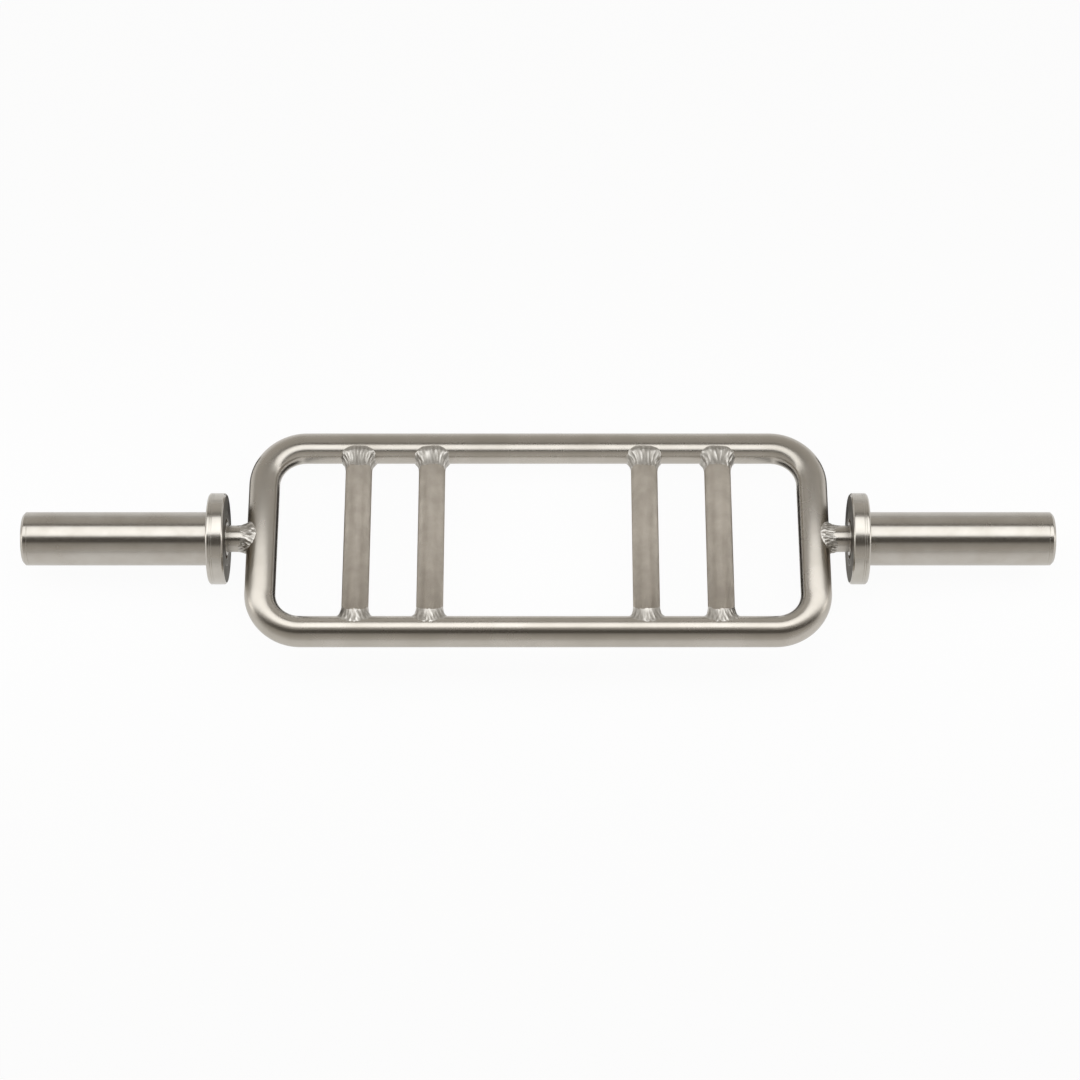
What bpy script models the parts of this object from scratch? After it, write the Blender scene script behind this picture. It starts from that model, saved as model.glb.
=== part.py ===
"""A triceps bar with revolving sleeves, in metres, +Z up.

The origin is the middle of the bar, on the axis of its sleeves. +X runs along the bar, the hand
frame lies in the XY plane and +Z is square to it. The rail at +Y is called rear, the one at -Y front.

One end of the bar is the other one turned half a turn about Z, so each piece is shaped once, for the
right-hand end, and each end's pieces hang on an empty that gives them their side.
"""

import math

import bmesh
import bpy
from mathutils import Matrix, Vector

MM = 0.001

# Hand frame: one size of round tube, bent to a rounded rectangle, butt welded in the middle of its rails
TUBE_DIAMETER = 28.9 * MM
TUBE_WALL = 3.0 * MM
FRAME_LENGTH = 516.0 * MM
FRAME_WIDTH = 190.9 * MM
BEND_RADIUS = 39.1 * MM

# Grips: tubes across the frame, at these distances from its middle
GRIP_DIAMETER = 25.0 * MM
GRIP_WALL = 2.5 * MM
INNER_GRIP_OFFSET = 100.3 * MM
OUTER_GRIP_OFFSET = 169.5 * MM

# Spindles: solid round bar from each side tube to the sleeve's far end
SPINDLE_DIAMETER = 25.0 * MM
NECK_LENGTH = 18.65 * MM

# Fillet welds: how far each one reaches along the branch, at its sides and on top, and over the tube
GRIP_WELD_LEG = 11.0 * MM
GRIP_WELD_TOP_LEG = 13.0 * MM
GRIP_WELD_TUBE_LEG = 4.2 * MM
SPINDLE_WELD_LEG = 8.0 * MM
SPINDLE_WELD_TOP_LEG = 12.0 * MM
SPINDLE_WELD_TUBE_LEG = 3.2 * MM
WELD_RIPPLE_HEIGHT = 0.4 * MM
WELD_LEAST_THROAT = 0.25 * MM
WELD_HOLLOW = 0.3
GRIP_WELD_RIPPLES = 16
SPINDLE_WELD_RIPPLES = 16

# Revolving sleeves and the collars on them
SLEEVE_DIAMETER = 50.0 * MM
SLEEVE_WALL = 6.0 * MM
SLEEVE_LENGTH = 189.8 * MM
SLEEVE_END_CHAMFER = 2.5 * MM
COLLAR_DIAMETER = 85.4 * MM
COLLAR_THICKNESS = 16.0 * MM
COLLAR_CHAMFER = 1.5 * MM

# Bearings
INNER_BUSH_LENGTH = 30.0 * MM
OUTER_BUSH_LENGTH = 25.0 * MM
BUSH_CHAMFER = 1.0 * MM
THRUST_RING_THICKNESS = 4.0 * MM
THRUST_RING_PROUD = 0.5 * MM
WASHER_THICKNESS = 3.0 * MM
WASHER_CLEARANCE = 1.0 * MM

# Snap rings, their grooves, and the cap that one of them holds in the sleeve's mouth
CLIP_THICKNESS = 1.5 * MM
CLIP_WIDTH = 3.2 * MM
CLIP_LUG_WIDTH = 5.0 * MM
CLIP_LUG_CLEARANCE = 1.0 * MM
CLIP_OPENING = math.radians(34)
CLIP_HOLE_DIAMETER = 2.0 * MM
GROOVE_DEPTH = 1.2 * MM
SPINDLE_END_LAND = 2.5 * MM
CAP_SEAT_STEP = 1.5 * MM
CAP_THICKNESS = 5.0 * MM
CAP_BOSS_DIAMETER = 22.0 * MM
CAP_BOSS_HEIGHT = 1.5 * MM
CAP_INSET = 3.0 * MM
CAP_TO_SPINDLE = 2.5 * MM

# Clearance between pieces that touch or turn on each other
GAP = 0.3 * MM

# How finely round forms are divided, and the most that one face of a coped end turns round the tube
TUBE_SIDES = 24
TUBE_BORE_SIDES = 12
BEND_STEPS = 7
BRANCH_SIDES = 24
COPE_STEP = math.radians(16)
WELD_STEPS_PER_RIPPLE = 3
SLEEVE_SIDES = 36
BEARING_SIDES = 24
CLIP_STEPS = 16
CLIP_LUG_STEPS = 2
HOLE_SIDES = 10
SMOOTH_UNDER = math.radians(35)

# Radii that the sizes above give
TUBE_RADIUS = TUBE_DIAMETER / 2
GRIP_RADIUS = GRIP_DIAMETER / 2
SPINDLE_RADIUS = SPINDLE_DIAMETER / 2
SLEEVE_RADIUS = SLEEVE_DIAMETER / 2
BORE_RADIUS = SLEEVE_RADIUS - SLEEVE_WALL
CAP_SEAT_RADIUS = BORE_RADIUS + CAP_SEAT_STEP
CAP_GROOVE_RADIUS = CAP_SEAT_RADIUS + GROOVE_DEPTH
SPINDLE_GROOVE_RADIUS = SPINDLE_RADIUS - GROOVE_DEPTH
# The thrust ring fills half of the space round the spindle, so the inner bush meets it and the bore doesn't
THRUST_RING_RADIUS = (SPINDLE_RADIUS + BORE_RADIUS) / 2
# The snap rings' seats, and how wide their lugs may be: on the spindle they keep clear of the bore
SPINDLE_CLIP_SEAT = SPINDLE_GROOVE_RADIUS + GAP
SPINDLE_CLIP_LUG = min(CLIP_LUG_WIDTH, BORE_RADIUS - CLIP_LUG_CLEARANCE - SPINDLE_CLIP_SEAT)
CAP_CLIP_SEAT = CAP_GROOVE_RADIUS - GAP
CAP_CLIP_LUG = min(CLIP_LUG_WIDTH, CAP_CLIP_SEAT - CLIP_LUG_CLEARANCE - CAP_BOSS_DIAMETER / 2)

# Stations along the bar, from its middle outwards
SIDE_TUBE_AXIS = FRAME_LENGTH / 2
COLLAR_FACE = SIDE_TUBE_AXIS + TUBE_RADIUS + NECK_LENGTH
PLATE_FACE = COLLAR_FACE + COLLAR_THICKNESS
SLEEVE_END = COLLAR_FACE + SLEEVE_LENGTH
THRUST_RING_START = COLLAR_FACE - THRUST_RING_PROUD
THRUST_RING_END = THRUST_RING_START + THRUST_RING_THICKNESS
INNER_BUSH_START = THRUST_RING_END + GAP
CAP_CLIP_START = SLEEVE_END - CAP_INSET - CLIP_THICKNESS
CAP_FACE = CAP_CLIP_START - GAP
CAP_BACK = CAP_FACE - CAP_THICKNESS
SPINDLE_END = CAP_BACK - CAP_TO_SPINDLE
SPINDLE_CLIP_START = SPINDLE_END - SPINDLE_END_LAND - CLIP_THICKNESS
WASHER_START = SPINDLE_CLIP_START - GAP - WASHER_THICKNESS
OUTER_BUSH_START = WASHER_START - GAP - OUTER_BUSH_LENGTH

# Names of the two ends, and the turn about Z that each one's pieces take
SIDES = {"right": 0.0, "left": math.pi}
# Names of the two rails, and the turn that points a branch from the frame's middle at each
RAILS = {"rear": math.pi / 2, "front": -math.pi / 2}


def clear_scene():
    """Remove every object, so that the file holds the bar alone."""
    for obj in list(bpy.data.objects):
        bpy.data.objects.remove(obj, do_unlink=True)


def metal(name, colour, roughness):
    """A bare or plated metal of one colour."""
    material = bpy.data.materials.new(name)
    material.use_nodes = True
    shader = material.node_tree.nodes["Principled BSDF"]
    shader.inputs["Base Color"].default_value = (*colour, 1.0)
    shader.inputs["Roughness"].default_value = roughness
    shader.inputs["Metallic"].default_value = 1.0
    return material


def finishes():
    """The material of each kind of piece."""
    return {
        "frame": metal("frame_satin_nickel", (0.50, 0.46, 0.41), 0.30),
        "grip": metal("grip_knurled_nickel", (0.42, 0.39, 0.35), 0.55),
        "grip_weld": metal("grip_weld_nickel", (0.50, 0.46, 0.42), 0.38),
        "spindle": metal("spindle_ground_steel", (0.52, 0.49, 0.44), 0.26),
        "spindle_weld": metal("spindle_weld_nickel", (0.51, 0.47, 0.42), 0.38),
        "sleeve": metal("sleeve_satin_nickel", (0.52, 0.48, 0.43), 0.28),
        "collar": metal("collar_turned_nickel", (0.51, 0.47, 0.42), 0.30),
        "bush": metal("bush_bearing_bronze", (0.34, 0.22, 0.10), 0.45),
        "thrust_ring": metal("thrust_ring_steel", (0.44, 0.42, 0.39), 0.35),
        "washer": metal("washer_zinc_steel", (0.55, 0.55, 0.53), 0.40),
        "clip": metal("clip_spring_steel", (0.09, 0.09, 0.09), 0.45),
        "cap": metal("cap_turned_steel", (0.50, 0.47, 0.43), 0.32),
    }


def mesh_from(bm, name, turn_outwards=True):
    """Close a bmesh off as a named mesh with outward faces, smooth where its faces meet gently."""
    if turn_outwards:
        bmesh.ops.recalc_face_normals(bm, faces=bm.faces)
    mesh = bpy.data.meshes.new(name)
    bm.to_mesh(mesh)
    bm.free()
    mesh.shade_smooth()
    mesh.set_sharp_from_angle(angle=SMOOTH_UNDER)
    return mesh


def place(name, mesh, material, parent=None, location=(0.0, 0.0, 0.0), turn=0.0):
    """Put a mesh in the scene as a named piece, turned about Z."""
    obj = bpy.data.objects.new(name, mesh)
    if not mesh.materials:
        mesh.materials.append(material)
    bpy.context.scene.collection.objects.link(obj)
    obj.parent = parent
    obj.location = location
    obj.rotation_euler = (0.0, 0.0, turn)
    return obj


def axis_empty(name, turn):
    """An empty on the bar's axis, which is the axis that a sleeve turns on."""
    empty = bpy.data.objects.new(name, None)
    empty.empty_display_size = SLEEVE_RADIUS
    bpy.context.scene.collection.objects.link(empty)
    empty.rotation_euler = (0.0, 0.0, turn)
    return empty


def chain(bm, points, closed):
    """Join points by edges, one after another, and back to the first if the chain is closed."""
    verts = [bm.verts.new(point) for point in points]
    edges = [bm.edges.new(pair) for pair in zip(verts, verts[1:])]
    if closed:
        edges.append(bm.edges.new((verts[-1], verts[0])))
    return verts + edges


def turned(name, outline, sides, closed=True):
    """A turned piece. The outline's points are (distance along X, radius).

    A closed outline gives a ring. An open one starts and ends on the axis and gives a solid bar.
    """
    bm = bmesh.new()
    profile = chain(bm, [(along, 0.0, radius) for along, radius in outline], closed)
    bmesh.ops.spin(
        bm,
        geom=profile,
        cent=(0.0, 0.0, 0.0),
        axis=(1.0, 0.0, 0.0),
        angle=2 * math.pi,
        steps=sides,
    )
    bmesh.ops.remove_doubles(bm, verts=bm.verts, dist=0.01 * MM)
    return mesh_from(bm, name)


def ring_outline(start, end, inner, outer, chamfer=0.0):
    """The outline of a plain ring, with its two outer corners cut back if it has a chamfer."""
    if not chamfer:
        return [(start, inner), (end, inner), (end, outer), (start, outer)]
    return [
        (start, inner),
        (end, inner),
        (end, outer - chamfer),
        (end - chamfer, outer),
        (start + chamfer, outer),
        (start, outer - chamfer),
    ]


def frame_half_mesh():
    """Half the hand frame, for the right-hand end: a U of tube that is open at both ends.

    The tube's outer and inner circles are drawn at the rear seam, then carried straight along the
    rear rail, round the rear bend, down the side, round the front bend and back along the front rail.
    """
    bm = bmesh.new()
    seam = GAP / 2
    rail = FRAME_WIDTH / 2
    bend_x = SIDE_TUBE_AXIS - BEND_RADIUS
    bend_y = rail - BEND_RADIUS
    bmesh.ops.create_circle(bm, segments=TUBE_SIDES, radius=TUBE_RADIUS)
    bmesh.ops.create_circle(bm, segments=TUBE_BORE_SIDES, radius=TUBE_RADIUS - TUBE_WALL)
    for vert in bm.verts:
        across, up, _ = vert.co
        vert.co = (seam, rail + across, up)
    front = list(bm.edges)
    bmesh.ops.bridge_loops(bm, edges=front)
    front = carry_straight(bm, front, (bend_x - seam, 0.0, 0.0))
    front = carry_round(bm, front, (bend_x, bend_y, 0.0))
    front = carry_straight(bm, front, (0.0, -2 * bend_y, 0.0))
    front = carry_round(bm, front, (bend_x, -bend_y, 0.0))
    front = carry_straight(bm, front, (seam - bend_x, 0.0, 0.0))
    bmesh.ops.bridge_loops(bm, edges=front)
    return mesh_from(bm, "frame_half")


def carry_straight(bm, edges, move):
    """Extrude the tube's circles along a straight stretch, and return the circles at its end."""
    made = bmesh.ops.extrude_edge_only(bm, edges=edges)["geom"]
    verts = [item for item in made if isinstance(item, bmesh.types.BMVert)]
    bmesh.ops.translate(bm, verts=verts, vec=move)
    return [item for item in made if isinstance(item, bmesh.types.BMEdge)]


def carry_round(bm, edges, centre):
    """Spin the tube's circles clockwise round a quarter bend, and return the circles at its end."""
    verts = {vert for edge in edges for vert in edge.verts}
    made = bmesh.ops.spin(
        bm,
        geom=[*verts, *edges],
        cent=centre,
        axis=(0.0, 0.0, -1.0),
        angle=math.pi / 2,
        steps=BEND_STEPS,
    )["geom_last"]
    return [item for item in made if isinstance(item, bmesh.types.BMEdge)]


def distance_to_tube(height):
    """How far from the tube's axis a branch's end stands off it, at this height beside the tube.

    The end follows a circle one clearance larger than the tube. Past the tube's sides it stops level
    with the tube's axis.
    """
    reach = TUBE_RADIUS + GAP
    return math.sqrt(max(reach**2 - height**2, 0.0))


def cope_radii(inner, outer):
    """Radii across a coped end, from its inner edge to its outer one, evenly spaced round the tube."""
    reach = TUBE_RADIUS + GAP
    first, last = (math.asin(min(radius / reach, 1.0)) for radius in (inner, outer))
    steps = math.ceil((last - first) / COPE_STEP)
    between = [reach * math.sin(first + (last - first) * step / steps) for step in range(1, steps)]
    return [inner, *between, outer]


def grip_mesh():
    """A grip: a tube along X, centred, each end coped to the rail that it meets."""
    half = FRAME_WIDTH / 2
    ends = cope_radii(GRIP_RADIUS - GRIP_WALL, GRIP_RADIUS)
    outline = [
        *[(-half, radius) for radius in ends],
        *[(half, radius) for radius in reversed(ends)],
    ]
    mesh = turned("grip", outline, BRANCH_SIDES)
    for vert in mesh.vertices:
        side = math.copysign(1.0, vert.co.x)
        vert.co.x = side * (half - distance_to_tube(vert.co.z))
    return mesh


def spindle_mesh():
    """A spindle: a solid bar with a coped inner end and a snap ring groove near its outer end."""
    clip_end = SPINDLE_CLIP_START + CLIP_THICKNESS
    outline = [
        *[(SIDE_TUBE_AXIS, radius) for radius in cope_radii(0.0, SPINDLE_RADIUS)],
        (SPINDLE_CLIP_START - GAP / 2, SPINDLE_RADIUS),
        (SPINDLE_CLIP_START - GAP / 2, SPINDLE_GROOVE_RADIUS),
        (clip_end + GAP / 2, SPINDLE_GROOVE_RADIUS),
        (clip_end + GAP / 2, SPINDLE_RADIUS),
        (SPINDLE_END - GROOVE_DEPTH, SPINDLE_RADIUS),
        (SPINDLE_END, SPINDLE_RADIUS - GROOVE_DEPTH),
        (SPINDLE_END, 0.0),
    ]
    mesh = turned("spindle", outline, BRANCH_SIDES, closed=False)
    for vert in mesh.vertices:
        if vert.co.x < SIDE_TUBE_AXIS + GAP:
            vert.co.x = SIDE_TUBE_AXIS + distance_to_tube(vert.co.z)
    return mesh


def weld_section(turn, branch_radius, leg, tube_leg, lift):
    """The weld's outline at one turn about the branch, as points from the tube's axis.

    The branch runs along X and the tube along Y. The outline goes from the toe on the branch down a
    hollow face to the toe on the tube, and back along the tube to the root between the two. The face
    is lifted square to its chord, and keeps a least throat over the branch.
    """
    reach = TUBE_RADIUS + GAP
    inner = branch_radius + GAP
    across = Vector((0.0, math.cos(turn), math.sin(turn)))
    rise = max(min(inner * across.z / reach, 1.0), -1.0)
    lean = math.asin(rise)
    toe_lean = lean + tube_leg / reach * across.z
    root = inner * across + Vector((reach * math.cos(lean), 0.0, 0.0))
    branch_toe = root + Vector((leg, 0.0, 0.0))
    tube_toe = Vector(
        (
            reach * math.cos(toe_lean),
            (inner + tube_leg) * across.y,
            reach * math.sin(toe_lean),
        )
    )
    pull = root.lerp((branch_toe + tube_toe) / 2, WELD_HOLLOW)
    outward = (across - across.project(branch_toe - tube_toe)).normalized()
    face = []
    for share in (1 / 3, 2 / 3):
        bend = branch_toe.lerp(pull, share).lerp(pull.lerp(tube_toe, share), share)
        shortfall = max(WELD_LEAST_THROAT - (bend - root).dot(across), 0.0)
        face.append(bend + shortfall * across + lift * outward)
    return [branch_toe, *face, tube_toe, root]


def close_corners(bm, first, second, third, fourth):
    """Close four corners with two triangles, split along the shorter diagonal to stay off the tube."""
    if (first.co - third.co).length > (second.co - fourth.co).length:
        first, second, third, fourth = second, third, fourth, first
    bm.faces.new((first, second, third))
    bm.faces.new((first, third, fourth))


def weld_mesh(name, branch_radius, leg, top_leg, tube_leg, ripples):
    """A fillet weld in the saddle between a branch along X and a tube along Y, in steep-backed ripples.

    Its sections stand round the branch. The leg along the branch grows from the sides, level with
    the tube's axis, to the top and bottom, and each ripple rises sharply and falls away gently.
    """
    bm = bmesh.new()
    steps = ripples * WELD_STEPS_PER_RIPPLE
    rings = []
    for step in range(steps):
        turn = 2 * math.pi * step / steps
        fall = 1 - (step % WELD_STEPS_PER_RIPPLE) / WELD_STEPS_PER_RIPPLE
        reach = leg + (top_leg - leg) * math.sin(turn) ** 2
        section = weld_section(turn, branch_radius, reach, tube_leg, fall * WELD_RIPPLE_HEIGHT)
        rings.append([bm.verts.new(point) for point in section])
    for ring, following in zip(rings, rings[1:] + rings[:1]):
        for corner in range(len(ring)):
            before = corner - 1
            close_corners(bm, ring[before], ring[corner], following[corner], following[before])
    return mesh_from(bm, name)


def clip_mesh(name, seat_radius, lug_width, side):
    """A snap ring about X: a flat ring with an opening at the top and a wider lug at each end.

    Its seat is the circle that it springs against. Its lugs are outside the seat if side is 1, and
    inside it if side is -1.
    """
    bm = bmesh.new()
    span = 2 * math.pi - CLIP_OPENING
    columns = []
    for step in range(CLIP_STEPS + 1):
        angle = math.pi / 2 + CLIP_OPENING / 2 + span * step / CLIP_STEPS
        from_end = min(step, CLIP_STEPS - step)
        width = lug_width if from_end < CLIP_LUG_STEPS else min(CLIP_WIDTH, lug_width)
        column = [
            bm.verts.new((along, radius * math.cos(angle), radius * math.sin(angle)))
            for along in (0.0, CLIP_THICKNESS)
            for radius in (seat_radius, seat_radius + side * width)
        ]
        columns.append(column)
    order = (0, 1, 3, 2)
    for column, following in zip(columns, columns[1:]):
        for corner, after in zip(order, order[1:] + order[:1]):
            bm.faces.new((column[corner], column[after], following[after], following[corner]))
    for column in (columns[0], columns[-1]):
        bm.faces.new([column[corner] for corner in order])
    return mesh_from(bm, name)


def clip_holes_mesh(name, seat_radius, lug_width, side):
    """The two pins that cut the plier holes in a snap ring's lugs."""
    step_angle = (2 * math.pi - CLIP_OPENING) / CLIP_STEPS
    from_opening = CLIP_OPENING / 2 + step_angle * (CLIP_LUG_STEPS - 1) / 2
    radius = seat_radius + side * lug_width / 2
    bm = bmesh.new()
    for hand in (-1, 1):
        angle = math.pi / 2 + hand * from_opening
        centre = (CLIP_THICKNESS / 2, radius * math.cos(angle), radius * math.sin(angle))
        bmesh.ops.create_cone(
            bm,
            segments=HOLE_SIDES,
            radius1=CLIP_HOLE_DIAMETER / 2,
            radius2=CLIP_HOLE_DIAMETER / 2,
            depth=3 * CLIP_THICKNESS,
            cap_ends=True,
            matrix=Matrix.Translation(centre) @ Matrix.Rotation(math.pi / 2, 4, "Y"),
        )
    return mesh_from(bm, name, turn_outwards=False)


def clip_meshes(name, seat_radius, lug_width, side):
    """A snap ring and the pins that cut its holes."""
    return (
        clip_mesh(name, seat_radius, lug_width, side),
        clip_holes_mesh(name + "_holes", seat_radius, lug_width, side),
    )


def place_clip(name, meshes, material, parent, station):
    """Put a snap ring at its station, with its plier holes cut."""
    ring, holes = meshes
    clip = place(name, ring, material, parent, (station, 0.0, 0.0))
    cutter = place(name + "_holes", holes, material, parent, (station, 0.0, 0.0))
    cutter.hide_render = True
    cutter.display_type = "WIRE"
    cut = clip.modifiers.new("plier_holes", "BOOLEAN")
    cut.operation = "DIFFERENCE"
    cut.solver = "EXACT"
    cut.object = cutter
    return clip


def sleeve_tube_mesh():
    """The revolving tube: a long bore for the bushes, and a wider seat for the cap with its groove."""
    groove_start = CAP_CLIP_START - GAP / 2
    groove_end = CAP_CLIP_START + CLIP_THICKNESS + GAP / 2
    mouth_chamfer = SLEEVE_END_CHAMFER / 4
    outline = [
        (COLLAR_FACE, BORE_RADIUS),
        (CAP_BACK - GAP, BORE_RADIUS),
        (CAP_BACK - GAP, CAP_SEAT_RADIUS),
        (groove_start, CAP_SEAT_RADIUS),
        (groove_start, CAP_GROOVE_RADIUS),
        (groove_end, CAP_GROOVE_RADIUS),
        (groove_end, CAP_SEAT_RADIUS),
        (SLEEVE_END - mouth_chamfer, CAP_SEAT_RADIUS),
        (SLEEVE_END, CAP_SEAT_RADIUS + mouth_chamfer),
        (SLEEVE_END, SLEEVE_RADIUS - SLEEVE_END_CHAMFER),
        (SLEEVE_END - SLEEVE_END_CHAMFER, SLEEVE_RADIUS),
        (COLLAR_FACE, SLEEVE_RADIUS),
    ]
    return turned("sleeve_tube", outline, SLEEVE_SIDES)


def end_cap_mesh():
    """The cap in the sleeve's mouth: a turned disc with a raised boss inside its snap ring."""
    radius = CAP_SEAT_RADIUS - GAP
    boss = CAP_BOSS_DIAMETER / 2
    outline = [
        (CAP_BACK, 0.0),
        (CAP_BACK, radius),
        (CAP_FACE, radius),
        (CAP_FACE, boss),
        (CAP_FACE + CAP_BOSS_HEIGHT, boss - CAP_BOSS_HEIGHT / 2),
        (CAP_FACE + CAP_BOSS_HEIGHT, 0.0),
    ]
    return turned("end_cap", outline, BEARING_SIDES, closed=False)


def bearing_ring(name, start, length, inner, outer, chamfer=0.0):
    """A bush, ring or washer on the bar's axis."""
    return turned(name, ring_outline(start, start + length, inner, outer, chamfer), BEARING_SIDES)


def build_frame(looks):
    """The hand frame: two halves of tube, four grips, and a weld round each end of each grip."""
    half = frame_half_mesh()
    grip = grip_mesh()
    weld = weld_mesh(
        "grip_weld",
        GRIP_RADIUS,
        GRIP_WELD_LEG,
        GRIP_WELD_TOP_LEG,
        GRIP_WELD_TUBE_LEG,
        GRIP_WELD_RIPPLES,
    )
    offsets = {"inner": INNER_GRIP_OFFSET, "outer": OUTER_GRIP_OFFSET}
    for side, turn in SIDES.items():
        hand = math.cos(turn)
        place(f"frame_half_{side}", half, looks["frame"], turn=turn)
        for which, offset in offsets.items():
            x = hand * offset
            place(f"grip_{which}_{side}", grip, looks["grip"], location=(x, 0.0, 0.0), turn=math.pi / 2)
            for rail, rail_turn in RAILS.items():
                rail_y = math.copysign(FRAME_WIDTH / 2, rail_turn)
                place(
                    f"grip_weld_{which}_{side}_{rail}",
                    weld,
                    looks["grip_weld"],
                    location=(x, rail_y, 0.0),
                    turn=-rail_turn,
                )


def build_spindles(looks):
    """What stays still at each end: the spindle, its weld, and the rings that hold the sleeve on it."""
    spindle = spindle_mesh()
    weld = weld_mesh(
        "spindle_weld",
        SPINDLE_RADIUS,
        SPINDLE_WELD_LEG,
        SPINDLE_WELD_TOP_LEG,
        SPINDLE_WELD_TUBE_LEG,
        SPINDLE_WELD_RIPPLES,
    )
    around = SPINDLE_RADIUS + GAP
    ring = bearing_ring(
        "thrust_ring", THRUST_RING_START, THRUST_RING_THICKNESS, around, THRUST_RING_RADIUS
    )
    washer = bearing_ring(
        "thrust_washer", WASHER_START, WASHER_THICKNESS, around, BORE_RADIUS - WASHER_CLEARANCE
    )
    clip = clip_meshes("spindle_clip", SPINDLE_CLIP_SEAT, SPINDLE_CLIP_LUG, side=1)
    for side, turn in SIDES.items():
        hand = math.cos(turn)
        axis = axis_empty(f"spindle_axis_{side}", turn)
        place(f"spindle_{side}", spindle, looks["spindle"], axis)
        place(
            f"spindle_weld_{side}",
            weld,
            looks["spindle_weld"],
            location=(hand * SIDE_TUBE_AXIS, 0.0, 0.0),
            turn=turn,
        )
        place(f"thrust_ring_{side}", ring, looks["thrust_ring"], axis)
        place(f"thrust_washer_{side}", washer, looks["washer"], axis)
        place_clip(f"spindle_clip_{side}", clip, looks["clip"], axis, SPINDLE_CLIP_START)


def build_sleeves(looks):
    """What revolves at each end: tube, collar, two bushes, and the cap with its snap ring."""
    tube = sleeve_tube_mesh()
    collar = turned(
        "sleeve_collar",
        ring_outline(COLLAR_FACE, PLATE_FACE, SLEEVE_RADIUS + GAP, COLLAR_DIAMETER / 2, COLLAR_CHAMFER),
        SLEEVE_SIDES,
    )
    around = SPINDLE_RADIUS + GAP
    within = BORE_RADIUS - GAP
    inner_bush = bearing_ring(
        "bush_inner", INNER_BUSH_START, INNER_BUSH_LENGTH, around, within, BUSH_CHAMFER
    )
    outer_bush = bearing_ring(
        "bush_outer", OUTER_BUSH_START, OUTER_BUSH_LENGTH, around, within, BUSH_CHAMFER
    )
    cap = end_cap_mesh()
    clip = clip_meshes("end_cap_clip", CAP_CLIP_SEAT, CAP_CLIP_LUG, side=-1)
    for side, turn in SIDES.items():
        axis = axis_empty(f"sleeve_axis_{side}", turn)
        place(f"sleeve_tube_{side}", tube, looks["sleeve"], axis)
        place(f"sleeve_collar_{side}", collar, looks["collar"], axis)
        place(f"bush_inner_{side}", inner_bush, looks["bush"], axis)
        place(f"bush_outer_{side}", outer_bush, looks["bush"], axis)
        place(f"end_cap_{side}", cap, looks["cap"], axis)
        place_clip(f"end_cap_clip_{side}", clip, looks["clip"], axis, CAP_CLIP_START)


def main():
    """Build the bar: the frame, then what stays still and what revolves at each end."""
    clear_scene()
    looks = finishes()
    build_frame(looks)
    build_spindles(looks)
    build_sleeves(looks)


main()
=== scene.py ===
"""The looks of a triceps bar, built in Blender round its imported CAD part.

Lengths are millimetres in the classes and metres in the meshes. +X runs along the bar, the hand frame
lies in the XY plane and +Z is square to it. Each piece of an end is worked out for the right-hand end,
and the left-hand one is the same piece turned half a turn about Z, as in the CAD part.
"""

import logging
import math
from collections.abc import Sequence
from dataclasses import dataclass
from enum import Enum
from itertools import count

import bmesh
import bpy
import numpy as np
from mathutils import Matrix, Vector
from numpy.typing import NDArray


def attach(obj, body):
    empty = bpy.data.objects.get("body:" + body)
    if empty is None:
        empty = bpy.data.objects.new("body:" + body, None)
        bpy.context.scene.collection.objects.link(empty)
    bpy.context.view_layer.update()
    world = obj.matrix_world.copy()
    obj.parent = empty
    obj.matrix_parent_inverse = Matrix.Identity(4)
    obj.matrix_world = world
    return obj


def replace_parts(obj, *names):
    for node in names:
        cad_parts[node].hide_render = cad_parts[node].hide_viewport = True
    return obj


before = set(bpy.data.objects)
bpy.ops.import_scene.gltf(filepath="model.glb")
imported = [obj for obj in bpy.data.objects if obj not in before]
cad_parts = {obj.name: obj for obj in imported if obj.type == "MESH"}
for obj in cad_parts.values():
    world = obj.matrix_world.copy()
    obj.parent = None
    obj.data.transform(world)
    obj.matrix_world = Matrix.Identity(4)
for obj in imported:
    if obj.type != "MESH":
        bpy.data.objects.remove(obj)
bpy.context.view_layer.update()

MM = 0.001
# How far a surface lies inside the size that it is drawn from, so that no two pieces share a face
SKIN = 0.02
SHARP_EDGE = math.radians(32)
SAME_POINT = 1e-6
# How near to a plane a face's middle lies when the face is in it
IN_PLANE = 0.01
# The stretches of a cloud's noise over which it changes the colour, and the roughness
CLOUD_TONE = (0.35, 0.65)
CLOUD_SHEEN = (0.3, 0.7)
Array = NDArray[np.float64]
log = logging.getLogger("triceps_bar")


class Side(Enum):
    """An end of the bar. Its value is the side's sign along X."""

    LEFT = -1
    RIGHT = 1

    @property
    def label(self) -> str:
        """The side's name as piece names have it."""
        return self.name.lower()

    @property
    def sleeve_body(self) -> str:
        """The CAD body of the revolving sleeve at this end."""
        return f"{self.label}_sleeve"


class Rail(Enum):
    """A long rail of the hand frame. Its value is the rail's sign along Y."""

    FRONT = -1
    REAR = 1


class Grip(Enum):
    """A grip of one side. Its value is its number from the bar's middle."""

    INNER = 0
    OUTER = 1

    @property
    def label(self) -> str:
        """The grip's name as piece names have it."""
        return self.name.lower()


class Slot(Enum):
    """The bar's material slots."""

    FRAME_TUBE = "frame_tube"
    GRIPS = "grips"
    WELDS = "welds"
    SPINDLES = "spindles"
    THRUST_RINGS = "thrust_rings"
    THRUST_WASHERS = "thrust_washers"
    SNAP_RINGS = "snap_rings"
    SLEEVES = "sleeves"
    COLLARS = "collars"
    BUSHES = "bushes"
    END_CAPS = "end_caps"


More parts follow.
